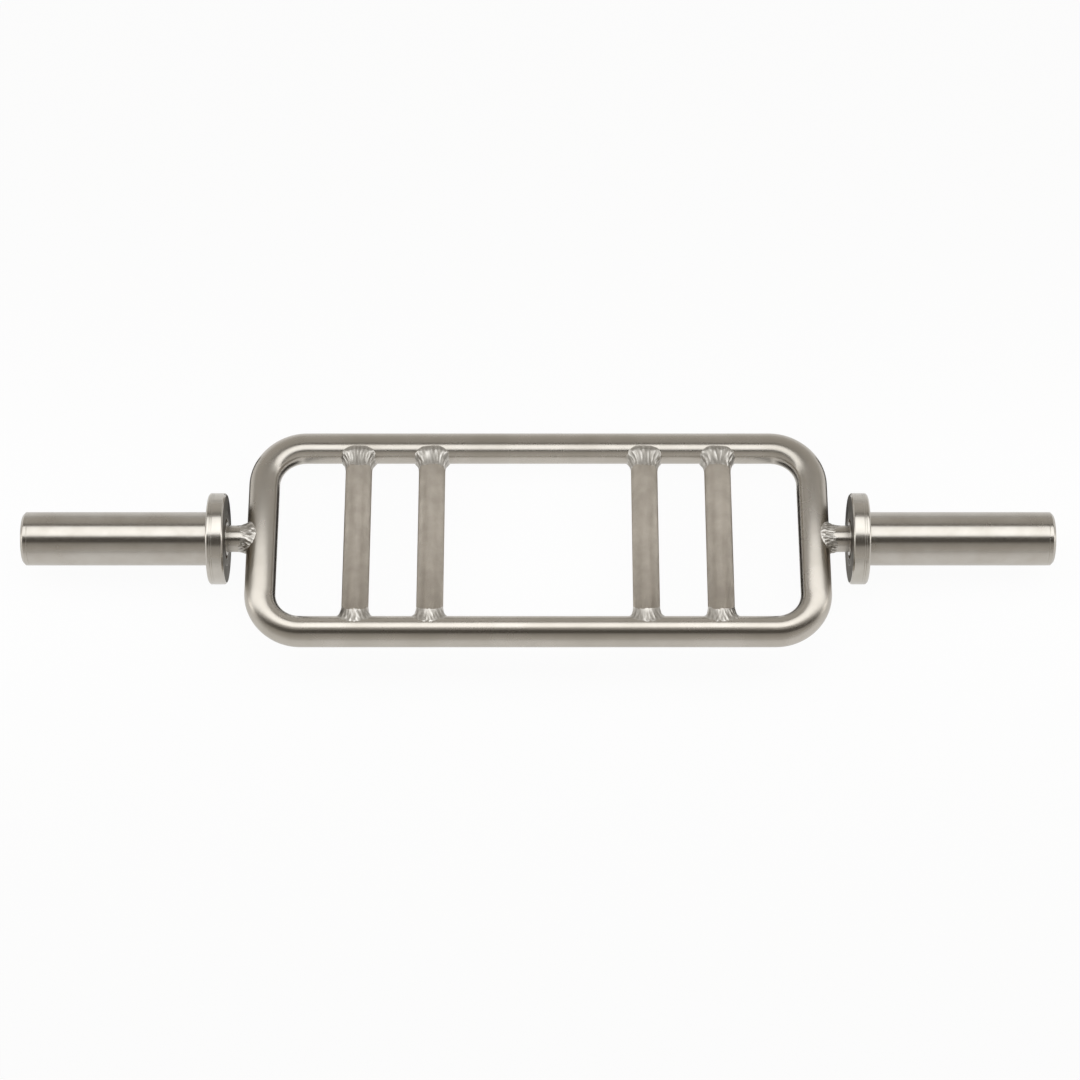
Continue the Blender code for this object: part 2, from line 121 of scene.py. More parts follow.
def linear(colour: str) -> tuple[float, float, float, float]:
    """Turn an sRGB hex colour to linear light.

    Args:
        colour: Six hex digits after a hash mark.

    Returns:
        Red, green and blue in linear light, and an alpha of 1.
    """
    parts = np.array([int(colour[start : start + 2], 16) / 255 for start in (1, 3, 5)])
    light = np.where(parts <= 0.04045, parts / 12.92, ((parts + 0.055) / 1.055) ** 2.4)
    return (*(float(part) for part in light), 1.0)


def add_node(
    tree: bpy.types.NodeTree, kind: str, inputs: dict | None = None, **settings: object
) -> bpy.types.Node:
    """Add a node with its settings and links.

    Args:
        tree: The node tree that gets it.
        kind: The node's type.
        inputs: For each input, a value or the output that feeds it.
        **settings: The node's own properties.

    Returns:
        The node.
    """
    node = tree.nodes.new(kind)
    for name, value in settings.items():
        setattr(node, name, value)
    for key, value in (inputs or {}).items():
        if isinstance(value, bpy.types.NodeSocket):
            tree.links.new(value, node.inputs[key])
        else:
            node.inputs[key].default_value = value
    return node


@dataclass(frozen=True)
class MetalFinish:
    """A bare or plated metal surface.

    Rings are the marks that a cutting tool or a belt leaves across the way it moves, and follow the
    piece's own measure along its outline. Grit is the even roughness that blasting, rolling or
    plating leaves. Both are finer on the real bar, and are drawn as coarse as they need to show.

    Attributes:
        name: What the material is and how it was made.
        colour: Its colour where the plate is even.
        cloud: Its colour in the faint clouds that handling and uneven plate leave.
        roughness: How far it spreads a reflection.
        ring_mm: The rings' spacing, or 0 for none.
        ring_depth_mm: The rings' depth.
        grit_mm: The grit's spacing.
        grit_depth_mm: The grit's depth.
        cloud_mm: The size of the clouds.
        stretch: How much more a reflection spreads along the outline than round the piece.
        grazing: The tint that a shallow reflection gets.
        worn: The share by which edges are smoother.
        hollow: The colour of painted shade in its hollows, where the edge share is 0, or empty for none.
        uneven: The share by which the clouds change the roughness.
    """

    name: str
    colour: str
    cloud: str
    roughness: float
    ring_mm: float = 0.0
    ring_depth_mm: float = 0.0
    grit_mm: float = 0.5
    grit_depth_mm: float = 0.0012
    cloud_mm: float = 25.0
    stretch: float = 0.0
    grazing: str = "#FFFFFF"
    worn: float = 0.25
    hollow: str = ""
    uneven: float = 0.08

    def material(self) -> bpy.types.Material:
        """Build the material, once.

        Returns:
            The material of this name.
        """
        found = bpy.data.materials.get(self.name)
        if found:
            return found
        material = bpy.data.materials.new(self.name)
        material.use_nodes = True
        tree = material.node_tree
        shader = tree.nodes["Principled BSDF"]
        shader.inputs["Metallic"].default_value = 1.0
        shader.inputs["Specular Tint"].default_value = linear(self.grazing)
        if self.stretch:
            shader.inputs["Anisotropic"].default_value = self.stretch
            along = add_node(tree, "ShaderNodeTangent", direction_type="UV_MAP", uv_map="measure")
            tree.links.new(along.outputs["Tangent"], shader.inputs["Tangent"])
        place = add_node(tree, "ShaderNodeTexCoord").outputs["Object"]
        clouds = add_node(
            tree,
            "ShaderNodeTexNoise",
            {"Vector": place, "Scale": 1000 / self.cloud_mm, "Detail": 3.0, "Roughness": 0.55},
        ).outputs["Fac"]
        edge = add_node(tree, "ShaderNodeAttribute", attribute_name="edge").outputs["Fac"]
        patch = add_node(
            tree,
            "ShaderNodeMapRange",
            {"Value": clouds, "From Min": CLOUD_TONE[0], "From Max": CLOUD_TONE[1]},
        ).outputs["Result"]
        tone = add_node(
            tree,
            "ShaderNodeMixRGB",
            {"Fac": patch, "Color1": linear(self.colour), "Color2": linear(self.cloud)},
        ).outputs["Color"]
        # Painted shade: where the edge share is 0, in a weld's ripple hollows, the colour goes to the
        # darker hollow colour
        if self.hollow:
            tone = add_node(
                tree,
                "ShaderNodeMixRGB",
                {"Fac": edge, "Color1": linear(self.hollow), "Color2": tone},
            ).outputs["Color"]
        tree.links.new(tone, shader.inputs["Base Color"])
        spread = add_node(
            tree,
            "ShaderNodeMapRange",
            {
                "Value": clouds,
                "From Min": CLOUD_SHEEN[0],
                "From Max": CLOUD_SHEEN[1],
                "To Min": self.roughness * (1 - self.uneven),
                "To Max": self.roughness * (1 + self.uneven),
            },
        ).outputs["Result"]
        polish = add_node(
            tree,
            "ShaderNodeMath",
            {0: edge, 1: -self.worn * self.roughness, 2: spread},
            operation="MULTIPLY_ADD",
        ).outputs["Value"]
        tree.links.new(polish, shader.inputs["Roughness"])
        tree.links.new(self.relief(tree, place), shader.inputs["Normal"])
        return material

    def relief(self, tree: bpy.types.NodeTree, place: bpy.types.NodeSocket) -> bpy.types.NodeSocket:
        """Add the bumps that grit and rings make.

        Args:
            tree: The material's nodes.
            place: Object coordinates.

        Returns:
            The bumped normal.
        """
        grit = add_node(
            tree,
            "ShaderNodeTexNoise",
            {"Vector": place, "Scale": 1000 / self.grit_mm, "Detail": 2.0},
        ).outputs["Fac"]
        normal = add_node(
            tree, "ShaderNodeBump", {"Height": grit, "Distance": self.grit_depth_mm * MM}
        ).outputs["Normal"]
        if not self.ring_mm:
            return normal
        measure = add_node(tree, "ShaderNodeUVMap", uv_map="measure").outputs["UV"]
        along = add_node(tree, "ShaderNodeSeparateXYZ", {"Vector": measure}).outputs["X"]
        rings = add_node(
            tree,
            "ShaderNodeTexNoise",
            {"W": along, "Scale": 1000 / self.ring_mm, "Detail": 3.0, "Roughness": 0.6},
            noise_dimensions="1D",
        ).outputs["Fac"]
        return add_node(
            tree,
            "ShaderNodeBump",
            {"Height": rings, "Distance": self.ring_depth_mm * MM, "Normal": normal},
        ).outputs["Normal"]


# Drawn steel tube, belted round and round, under satin nickel plate: a soft warm-grey sheen that
# spreads along the tube
FRAME_FINISH = MetalFinish(
    "drawn_tube_satin_nickel", "#C3BDB4", "#BAB4AA", 0.28, cloud_mm=40.0, stretch=0.45
)
# The same plate over a fine diamond knurl: each facet is smooth, and the facets together look matt. Its
# colour is darker than the tube's, as painted shade for the knurl's grooves
GRIP_FINISH = MetalFinish("knurled_tube_satin_nickel", "#B1A99E", "#A69E93", 0.36, cloud_mm=14.0)
# Weld bead under plate: its crests are paler than the tube beside it, and its hollows are darker as
# painted shade
WELD_FINISH = MetalFinish(
    "weld_bead_satin_nickel",
    "#D8D4CD",
    "#C6C2BB",
    0.44,
    grit_mm=0.9,
    grit_depth_mm=0.012,
    cloud_mm=4.0,
    # The darker colour of painted shade in the ripples' hollows
    hollow="#A39E96",
)
# Turned and polished steel under satin nickel plate: fine rings round the piece soften it lengthwise
SLEEVE_FINISH = MetalFinish(
    "turned_sleeve_satin_nickel",
    "#C0BBB3",
    "#B8B2A9",
    0.27,
    ring_mm=0.35,
    ring_depth_mm=0.0012,
    stretch=0.5,
)
# The same, turned more coarsely, so that its flat faces show rings
COLLAR_FINISH = MetalFinish(
    "turned_collar_satin_nickel", "#C8C3BB", "#BFBAB1", 0.27, ring_mm=0.5, ring_depth_mm=0.002, stretch=0.5
)
# The collar's inner face, and the sleeve's end beside it, left as the tool made it: rougher, with coarse
# rings. Its colour and grazing tint are darker as painted shade, for the shade that it mirrors between the
# collar and the side tube
PAINTED_SHADE_FACE = MetalFinish(
    "machined_face_dull_nickel",
    "#B0ACA4",
    "#9C9891",
    0.4,
    ring_mm=0.6,
    ring_depth_mm=0.01,
    cloud_mm=9.0,
    grazing="#8A8A8A",
)
# Ground round bar under the same plate: the smoothest surface on the bar
SPINDLE_FINISH = MetalFinish(
    "ground_bar_satin_nickel", "#C0BBB3", "#B8B2A9", 0.27, ring_mm=0.4, ring_depth_mm=0.001, stretch=0.5
)
# Turned steel left bright, greyer than the nickel
RING_FINISH = MetalFinish(
    "turned_steel_bright", "#B4B0A9", "#A8A39B", 0.28, ring_mm=0.4, ring_depth_mm=0.003
)
# Bearing bronze, turned and oiled: brown-gold with dark clouds
BUSH_FINISH = MetalFinish(
    "turned_bearing_bronze", "#A98A5B", "#8C6F45", 0.35, ring_mm=0.5, ring_depth_mm=0.004, cloud_mm=8.0
)
# Spring steel with a phosphate coat: charcoal grey and matt
CLIP_FINISH = MetalFinish(
    "phosphated_spring_steel", "#3C3B39", "#302F2E", 0.48, grit_mm=0.3, grit_depth_mm=0.004, worn=0.4
)
# Zinc plated washer: pale grey with a slight blue cast
WASHER_FINISH = MetalFinish("zinc_plated_steel", "#B7BABD", "#A6A9AC", 0.36, cloud_mm=6.0)


@dataclass
class Shell:
    """A closed surface on a grid of points.

    Each row is a closed ring of points. The rows follow an outline, which is closed too, or else
    starts and ends in a point or in a lid's middle.

    Attributes:
        points: The points, as rows by columns by 3, in millimetres.
        along: Each row's distance along the outline, with one more at the end where it is closed.
        closed: Whether the last row joins the first.
        edge: How near each row or point is to a corner or crest, from 0 to 1.
        crystal: Whether the grid's odd points are grooves, between which the faces are flat.
    """

    points: Array
    along: Array
    closed: bool = True
    edge: Array | None = None
    crystal: bool = False

    def corners(self) -> NDArray[np.int64]:
        """Work out each face's corners as row and column numbers.

        Returns:
            Faces by corners by 2. A face's row or column may be one past the last, where the grid
            closes. Faces are quads, or in a crystal the two triangles beside each groove.
        """
        rows, columns = self.points.shape[:2]
        row, column = np.meshgrid(
            np.arange(rows if self.closed else rows - 1), np.arange(columns), indexing="ij"
        )
        steps = np.array([(0, 0), (0, 1), (1, 1), (1, 0)])
        quads = np.stack([row, column], axis=-1).reshape(-1, 1, 2) + steps
        if not self.crystal:
            return quads
        even = quads[:, 0].sum(axis=1) % 2 == 0
        turned = np.where(even[:, None, None], np.roll(quads, 1, axis=1), quads)
        return np.concatenate([turned[:, [0, 1, 2]], turned[:, [0, 2, 3]]])

    def faces(self) -> tuple[NDArray[np.int64], Array]:
        """Work out the faces, turned outwards, with their places on the surface.

        A closed surface whose faces look inwards has a signed volume below zero, which is the sum
        over its triangles of the triple product of their corners.

        Returns:
            Faces by corners as point numbers, and faces by corners by 2 as metres along and around.
        """
        rows, columns = self.points.shape[:2]
        corners = self.corners()
        index = (corners[..., 0] % rows) * columns + corners[..., 1] % columns
        flat = self.points.reshape(-1, 3)
        first, second, third = (flat[index[:, corner]] for corner in (0, 1, 2))
        volume = np.einsum("ij,ij->", first, np.cross(second, third))
        if index.shape[1] == 4:
            last = flat[index[:, 3]]
            volume += np.einsum("ij,ij->", first, np.cross(third, last))
        if volume < 0:
            index = index[:, ::-1]
            corners = corners[:, ::-1]
        girth = np.linalg.norm(np.diff(self.points[rows // 2], axis=0), axis=1).sum()
        around = corners[..., 1] / columns * girth
        return index, np.stack([self.along[corners[..., 0]], around], axis=-1) * MM


def make_piece(name: str, shells: Sequence[Shell], finish: MetalFinish) -> bpy.types.Object:
    """Put shells into one mesh, dress it and link it to the scene.

    Args:
        name: The piece's name.
        shells: Its surfaces.
        finish: Its finish.

    Returns:
        The piece's object, at the origin.
    """
    points = np.concatenate([shell.points.reshape(-1, 3) for shell in shells]) * MM
    faces: list[list[int]] = []
    places: list[Array] = []
    start = 0
    for shell in shells:
        index, place = shell.faces()
        faces.extend((index + start).tolist())
        places.append(place.reshape(-1, 2))
        start += shell.points.shape[0] * shell.points.shape[1]
    mesh = bpy.data.meshes.new(name)
    mesh.from_pydata(points.tolist(), [], faces)
    uv_map = mesh.uv_layers.new(name="measure")
    uv_map.data.foreach_set("uv", np.concatenate(places).ravel())
    edge = mesh.attributes.new("edge", "FLOAT", "POINT")
    edge.data.foreach_set("value", np.concatenate([edge_values(shell) for shell in shells]))
    merge_poles(mesh)
    mesh.shade_smooth()
    mesh.set_sharp_from_angle(angle=SHARP_EDGE)
    if any(shell.crystal for shell in shells):
        mesh.shade_flat()
    mesh.materials.append(finish.material())
    piece = bpy.data.objects.new(name, mesh)
    bpy.context.scene.collection.objects.link(piece)
    log.info("%s: %d faces, %s", name, len(mesh.polygons), finish.name)
    return piece


def redress(piece: bpy.types.Object, finish: MetalFinish, chosen: NDArray[np.bool_]) -> None:
    """Give some of a piece's faces another finish.

    Args:
        piece: The piece.
        finish: The other finish.
        chosen: Whether each face gets it.
    """
    piece.data.materials.append(finish.material())
    slot = len(piece.data.materials) - 1
    index = np.where(chosen, slot, 0).astype(np.int32)
    piece.data.polygons.foreach_set("material_index", index)
    piece.data.update()


def face_centres(piece: bpy.types.Object) -> Array:
    """Read the middle of each face.

    Args:
        piece: The piece.

    Returns:
        Faces by 3, in millimetres.
    """
    centres = np.empty(len(piece.data.polygons) * 3)
    piece.data.polygons.foreach_get("center", centres)
    return centres.reshape(-1, 3) / MM


def edge_values(shell: Shell) -> Array:
    """Spread a shell's edge share over its points.

    Args:
        shell: The shell.

    Returns:
        One value for each point.
    """
    rows, columns = shell.points.shape[:2]
    share = np.zeros(rows) if shell.edge is None else shell.edge
    return np.broadcast_to(share.reshape(rows, -1), (rows, columns)).ravel()


def merge_poles(mesh: bpy.types.Mesh) -> None:
    """Make one point of the points that lie together at a pole.

    Args:
        mesh: The mesh to close.
    """
    bm = bmesh.new()
    bm.from_mesh(mesh)
    bmesh.ops.remove_doubles(bm, verts=bm.verts, dist=SAME_POINT)
    bm.to_mesh(mesh)
    bm.free()


def half_turn(points: Array, side: Side) -> Array:
    """Turn right-hand points half a turn about Z for the left-hand end.

    Args:
        points: Points whose last axis is X, Y, Z.
        side: The end that they are for.

    Returns:
        The points at that end.
    """
    return points * np.array([side.value, side.value, 1.0])


@dataclass(frozen=True)
class Corner:
    """A corner of a turned outline: a distance along X, a radius, and how far it is rounded."""

    x: float
    radius: float
    round: float = 0.0


def rounded_outline(
    corners: Sequence[Corner], closed: bool, steps: int = 6, lead: float = 0.2
) -> tuple[Array, Array]:
    """Round an outline's corners by arcs that touch both sides.

    Each arc runs from the one side's touching point to the other's, as a quadratic curve whose
    middle handle is the corner itself. A point a little farther along each side keeps the side flat
    in smooth shading.

    Args:
        corners: The corners in order.
        closed: Whether the last corner joins the first.
        steps: The points of an arc, less one.
        lead: How much farther that point lies, as a share of the rounding, and its share of edge.

    Returns:
        The outline's points as (x, radius), and the share of edge at each.
    """
    points: list[Array] = []
    edge: list[Array] = []
    total = len(corners)
    share = np.linspace(0.0, 1.0, steps + 1)[:, None]
    for number, corner in enumerate(corners):
        here = np.array([corner.x, corner.radius])
        if not corner.round or (not closed and number in (0, total - 1)):
            points.append(here[None])
            edge.append(np.zeros(1))
            continue
        sides = [corners[number - 1], corners[(number + 1) % total]]
        ends = [np.array([other.x, other.radius]) - here for other in sides]
        before, after = (end / np.linalg.norm(end) for end in ends)
        start, stop = here + before * corner.round, here + after * corner.round
        arc = start * (1 - share) ** 2 + 2 * here * share * (1 - share) + stop * share**2
        first, last = start + before * corner.round * lead, stop + after * corner.round * lead
        points.append(np.concatenate([first[None], arc, last[None]]))
        edge.append(np.concatenate([[lead], np.ones(steps + 1), [lead]]))
    return np.concatenate(points), np.concatenate(edge)


def groove(
    x: float, radius: float, depth: float = 0.25, reach: float = 0.32, lip: float = 0.06
) -> list[Corner]:
    """Cut a fine V in an outline that runs back along X.

    Args:
        x: The groove's middle.
        radius: The radius of the surface that it is cut in.
        depth: Its depth.
        reach: Half its width.
        lip: How far its corners are rounded.

    Returns:
        Its three corners.
    """
    ends = ((x + reach, radius), (x, radius - depth), (x - reach, radius))
    return [Corner(*end, lip) for end in ends]


def turned_shell(corners: Sequence[Corner], closed: bool = True, sides: int = 144) -> Shell:
    """Turn an outline about X.

    A point at distance x and radius r gives the ring x, r times the angle's cosine, r times its
    sine. The angle starts at the bottom, where a seam shows least.

    Args:
        corners: The outline's corners.
        closed: Whether it is a ring. If not, it starts and ends on the axis.
        sides: How many points each ring has.

    Returns:
        The surface.
    """
    outline, edge = rounded_outline(corners, closed)
    angle = np.linspace(0, 2 * math.pi, sides, endpoint=False) - math.pi / 2
    x = np.repeat(outline[:, :1], sides, axis=1)
    radius = outline[:, 1:]
    points = np.stack([x, radius * np.cos(angle), radius * np.sin(angle)], axis=-1)
    path = np.concatenate([outline, outline[:1]]) if closed else outline
    along = np.concatenate([[0.0], np.cumsum(np.linalg.norm(np.diff(path, axis=0), axis=1))])
    return Shell(points, along, closed, edge)


@dataclass(frozen=True)
class Sizes:
    """The bar's sizes, in millimetres, as in its CAD part.

    The frame's are from axis to axis, and the neck is what shows of a spindle. The gap is what
    seated pieces keep to each other, and the play is the space round what sits in a bore.
    """

    tube_radius: float = 14.45
    frame_length: float = 516.0
    frame_width: float = 190.9
    bend_radius: float = 39.1
    grip_radius: float = 12.5
    grip_offsets: tuple[float, float] = (100.3, 169.5)
    spindle_radius: float = 12.5
    neck_length: float = 18.65
    sleeve_radius: float = 25.0
    sleeve_wall: float = 6.0
    sleeve_length: float = 189.8
    collar_radius: float = 42.7
    collar_thickness: float = 16.0
    gap: float = 0.3
    play: float = 0.1

    @property
    def side_axis(self) -> float:
        """Where the side tube's axis crosses the bar's."""
        return self.frame_length / 2

    @property
    def rail(self) -> float:
        """How far a rail's axis lies from the bar's."""
        return self.frame_width / 2

    @property
    def collar_face(self) -> float:
        """Where the sleeve starts."""
        return self.side_axis + self.tube_radius + self.neck_length

    @property
    def plate_face(self) -> float:
        """Where a weight plate stops."""
        return self.collar_face + self.collar_thickness

    @property
    def sleeve_end(self) -> float:
        """Where the sleeve ends."""
        return self.collar_face + self.sleeve_length

    @property
    def bore_radius(self) -> float:
        """The radius that the bushes sit in."""
        return self.sleeve_radius - self.sleeve_wall


@dataclass
class HandFrame:
    """The bent tube and its grips.

    Attributes:
        sizes: The bar's sizes.
        knurl_pitch: How wide a diamond of the knurl is.
        knurl_depth: How deep its grooves are.
        knurl_half_length: How far it reaches from the grip's middle.
        knurl_runout: How far past it the grip is plain.
        oval: The share by which the tube is squeezed in the middle of a bend.
        rail_steps: The rings of half a rail.
        bend_steps: The rings of a bend, less one.
        flank_steps: The rings of half a side tube.
        tube_sides: The points of a ring.
    """

    sizes: Sizes = Sizes()
    knurl_pitch: float = 1.25
    knurl_depth: float = 0.33
    knurl_half_length: float = 79.0
    knurl_runout: float = 0.6
    oval: float = 0.015
    rail_steps: int = 24
    bend_steps: int = 28
    flank_steps: int = 8
    tube_sides: int = 96

    def build(self) -> None:
        """Build every piece of the frame."""
        for side in Side:
            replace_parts(self.tube(side), f"frame_half_{side.label}")
            for which in Grip:
                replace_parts(self.grip(side, which), f"grip_{which.label}_{side.label}")

    def tube(self, side: Side) -> bpy.types.Object:
        """Build half the bent tube.

        The tube's axis runs along the rear rail, round a quarter circle, along the side, round
        another, and back along the front rail. Each ring is the axis point plus the tube radius
        times (cosine of the angle times the way out of the loop, plus sine times up). In a bend the
        way out is drawn in by a small share, as a bent tube goes oval there.

        Args:
            side: The half to build.

        Returns:
            The piece.
        """
        sizes = self.sizes
        bend_x, bend_y = sizes.side_axis - sizes.bend_radius, sizes.rail - sizes.bend_radius
        turn = np.radians(np.linspace(90, 0, self.bend_steps + 1))
        way = np.stack([np.cos(turn), np.sin(turn)], axis=-1)
        straight = np.linspace(0.0, 1.0, self.rail_steps + 1)[:-1, None]
        rear = np.array([0.0, sizes.rail]) + straight * np.array([bend_x, 0.0])
        bend = np.array([bend_x, bend_y]) + sizes.bend_radius * way
        down = np.linspace(1.0, 0.0, self.flank_steps + 1)[1:, None]
        flank = np.array([sizes.side_axis, 0.0]) + down * np.array([0.0, bend_y])
        upper = np.concatenate([rear, bend, flank])
        to_rear = np.tile([0.0, 1.0], (self.rail_steps, 1))
        to_side = np.tile([1.0, 0.0], (self.flank_steps, 1))
        ways = np.concatenate([to_rear, way, to_side])
        squeeze = np.pad(np.sin(2 * turn) ** 2, (self.rail_steps, self.flank_steps))
        mirror = np.array([1.0, -1.0])
        axis = np.concatenate([upper, upper[-2::-1] * mirror])
        out = np.concatenate([ways, ways[-2::-1] * mirror])
        shape = 1 - self.oval * np.concatenate([squeeze, squeeze[-2::-1]])
        angle = np.linspace(0, 2 * math.pi, self.tube_sides, endpoint=False)[None, :, None]
        out3 = np.pad(out, ((0, 0), (0, 1)))[:, None, :]
        ring = np.cos(angle) * out3 * shape[:, None, None] + np.sin(angle) * np.array([0.0, 0.0, 1.0])
        axis3 = np.pad(axis, ((0, 0), (0, 1)))[:, None, :]
        body = axis3 + sizes.tube_radius * ring
        lids = [np.repeat(axis3[end : end + 1], self.tube_sides, axis=1) for end in (0, len(axis) - 1)]
        points = half_turn(np.concatenate([lids[0], body, lids[1]]), side)
        steps = np.linalg.norm(np.diff(axis, axis=0), axis=1)
        radius = sizes.tube_radius
        along = np.cumsum(np.concatenate([[0.0, radius], steps, [radius]]))
        shell = Shell(points, along, closed=False)
        piece = make_piece(f"frame_tube_{side.label}", [shell], FRAME_FINISH)
        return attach(piece, "frame")

    def grip(self, side: Side, which: Grip) -> bpy.types.Object:
        """Build a knurled grip.

        On a grid of half diamonds, a point whose two numbers add to an even one is a diamond's tip
        at the grip's radius, and an odd one lies in a groove, lower by the knurl's depth. A diamond
        is as long as its width times the root of three. Past the knurl the grip is plain, and it
        ends where it meets the rail: at the rail's axis less the root of (rail radius squared less
        height squared).

        Args:
            side: The end that the grip is nearer to.
            which: Which of that side's grips it is.

        Returns:
            The piece.
        """
        sizes = self.sizes
        around = 2 * round(math.pi * 2 * sizes.grip_radius / self.knurl_pitch)
        step = self.knurl_pitch * math.sqrt(3) / 2
        half_count = int(self.knurl_half_length / step)
        rows = np.arange(-half_count, half_count + 1)
        angle = 2 * math.pi * np.arange(around) / around
        odd = (rows[:, None] + np.arange(around)[None, :]) % 2
        radius = sizes.grip_radius - SKIN - self.knurl_depth * odd
        y = np.repeat(rows[:, None] * step, around, axis=1)
        plain = np.full(around, sizes.grip_radius - SKIN)
        coped = sizes.rail - np.sqrt(sizes.tube_radius**2 - (sizes.grip_radius * np.sin(angle)) ** 2)
        past = np.full(around, half_count * step + self.knurl_runout)
        lid = np.full(around, sizes.rail - sizes.tube_radius)
        y = np.stack([-lid, -coped, -past, *y, past, coped, lid])
        radius = np.stack([plain * 0, plain, plain, *radius, plain, plain, plain * 0])
        points = np.stack([radius * np.cos(angle), y, radius * np.sin(angle)], axis=-1)
        points[..., 0] += side.value * sizes.grip_offsets[which.value]
        along = np.concatenate([[0.0], np.cumsum(np.abs(np.diff(y[:, 0])))])
        shell = Shell(points, along, closed=False, crystal=True)
        name = f"knurled_grip_{which.label}_{side.label}"
        piece = make_piece(name, [shell], GRIP_FINISH)
        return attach(piece, "frame")


@dataclass(frozen=True)
class Stray:
    """How a measure strays round a weld.

    Attributes:
        size: How far it strays.
        waves: How many waves it is made of. More make it change faster.
    """

    size: float
    waves: int

    def around(self, turn: Array, rng: np.random.Generator) -> Array:
        """Make a smooth curve round the weld that closes on itself.

        It is the sum of sine waves, the first of which goes once round, each with a chance height
        and start. It is divided by the root of their number, so that it stays about within the size.

        Args:
            turn: The angles round the branch.
            rng: Where chance comes from.

        Returns:
            The curve's value at each angle.
        """
        order = np.arange(1, self.waves + 1)[:, None]
        height = rng.uniform(-1, 1, self.waves)[:, None]
        start = rng.uniform(0, 2 * math.pi, self.waves)[:, None]
        return self.size * ((height * np.sin(order * turn + start)).sum(axis=0) / math.sqrt(self.waves))


@dataclass
class Weld:
    """A rippled fillet weld in the saddle between a branch and a tube.

    Attributes:
        name: The piece's name.
        node: The CAD node that it stands for.
        branch_radius: The radius of the branch, which runs along the weld's own X.
        leg: The weld's reach along the branch at its sides.
        top_leg: The same on top and below.
        tube_leg: Its reach over the tube.
        ripples: How many ripples go round it.
        height: How high they stand.
        crown: How far the bead bulges on top and below.
        place: The weld's place and turn about Z.
        seed: What makes its ripples its own.
        lumps: How high the lumps of the frozen metal stand, as a share of the ripples' height.
        lump_run: How fast the lumps change down the face, at most.
        lump_orders: How often a wave of them goes round: at least, and under.
        lump_waves: How many waves make them.
        hollow: How far the face is drawn in towards the root.
        shoulder: How much farther it reaches over the tube between its sides and its top.
        waist: How much less it reaches along the branch there.
        crown_skew: How much nearer the tube it bulges most.
        scallop: The share by which the toes go out and in with the ripples.
        branch_stray: The share by which the toe on the branch strays.
        tube_stray: The share by which the toe on the tube strays.
        beat_stray: How far the ripples stray from even spacing, in radians of a ripple.
        jitter: The same, from one ripple to the next.
        bow: How far a ripple lags at the toes, in radians of a ripple.
        rise: The share of a ripple that rises.
        strength: How high a ripple stands on average, as a share of the height.
        strength_stray: How far that strays.
        fade: How suddenly the ripples fade at the toes. Less is more sudden.
        sink: How far the weld reaches into the branch and the tube.
        tube_radius: The radius of the tube.
        columns: The points round it.
        rows: The points down its face.
    """

    name: str
    node: str
    branch_radius: float
    leg: float
    top_leg: float
    tube_leg: float
    ripples: int
    height: float
    crown: float
    place: tuple[float, float, float]
    seed: int
    lumps: float = 0.42
    lump_run: float = 10.0
    lump_orders: tuple[int, int] = (7, 34)
    lump_waves: int = 14
    hollow: float = 0.32
    shoulder: float = 0.55
    waist: float = 2.0
    crown_skew: float = 1.9
    scallop: float = 0.03
    branch_stray: Stray = Stray(0.07, 5)
    tube_stray: Stray = Stray(0.06, 5)
    beat_stray: Stray = Stray(2.8, 9)
    jitter: Stray = Stray(1.1, 25)
    bow: float = 2.3
    rise: float = 0.4
    strength: float = 0.75
    strength_stray: Stray = Stray(0.45, 13)
    fade: float = 0.6
    sink: float = 0.05
    tube_radius: float = Sizes.tube_radius
    columns: int = 480
    rows: int = 30

    def frozen_lumps(self, turn: Array, share: Array, rng: np.random.Generator) -> Array:
        """Make the small unevenness of the frozen metal.

        It is the sum of sine waves that run both round the weld, a whole number of times, and down
        its face, each with a chance start.

        Args:
            turn: The angles round the branch.
            share: The places down the face, from 0 to 1.
            rng: Where chance comes from.

        Returns:
            The unevenness, mostly within one.
        """
        total = np.zeros(np.broadcast(turn, share).shape)
        for _ in range(self.lump_waves):
            order = int(rng.integers(*self.lump_orders))
            down = rng.uniform(-self.lump_run, self.lump_run)
            total += np.sin(order * turn + down * share + rng.uniform(0, 2 * math.pi))
        return total / math.sqrt(self.lump_waves)

    def toes(
        self, turn: Array, across: Array, beat: Array, rng: np.random.Generator
    ) -> tuple[Array, Array, Array]:
        """Work out where the weld's root and its two toes run.

        The root is where the branch meets the tube. One toe lies a leg along the branch from it, the
        other a leg round the tube. Between the sides and the top, by the square of the sine of twice
        the turn, the waist takes from the first and the shoulder adds to the second. Both go out and
        in with the ripples and stray a little.

        Args:
            turn: The angles round the branch.
            across: The way out of the branch at each.
            beat: How far on in the ripples each is, in radians.
            rng: Where chance comes from.

        Returns:
            The root, the toe on the branch and the toe on the tube.
        """
        reach = self.tube_radius - self.sink
        inner = self.branch_radius - self.sink
        lean = np.arcsin(inner * across[:, 2] / reach)
        scallop = self.scallop * np.cos(beat)
        between = np.sin(2 * turn) ** 2
        leg = self.leg + (self.top_leg - self.leg) * across[:, 2] ** 2 - self.waist * between
        leg = leg * (1 + scallop + self.branch_stray.around(turn, rng))
        tube_leg = self.tube_leg * (1 + self.shoulder * between)
        tube_leg = tube_leg * (1 + scallop + self.tube_stray.around(turn, rng))
        toe_lean = lean + tube_leg / reach * across[:, 2]
        level = np.zeros_like(turn)
        root = inner * across + np.stack([reach * np.cos(lean), level, level], axis=-1)
        branch_toe = root + leg[:, None] * np.array([1.0, 0.0, 0.0])
        sideways = (inner + tube_leg) * across[:, 1]
        tube_toe = np.stack([reach * np.cos(toe_lean), sideways, reach * np.sin(toe_lean)], axis=-1)
        return root, branch_toe, tube_toe

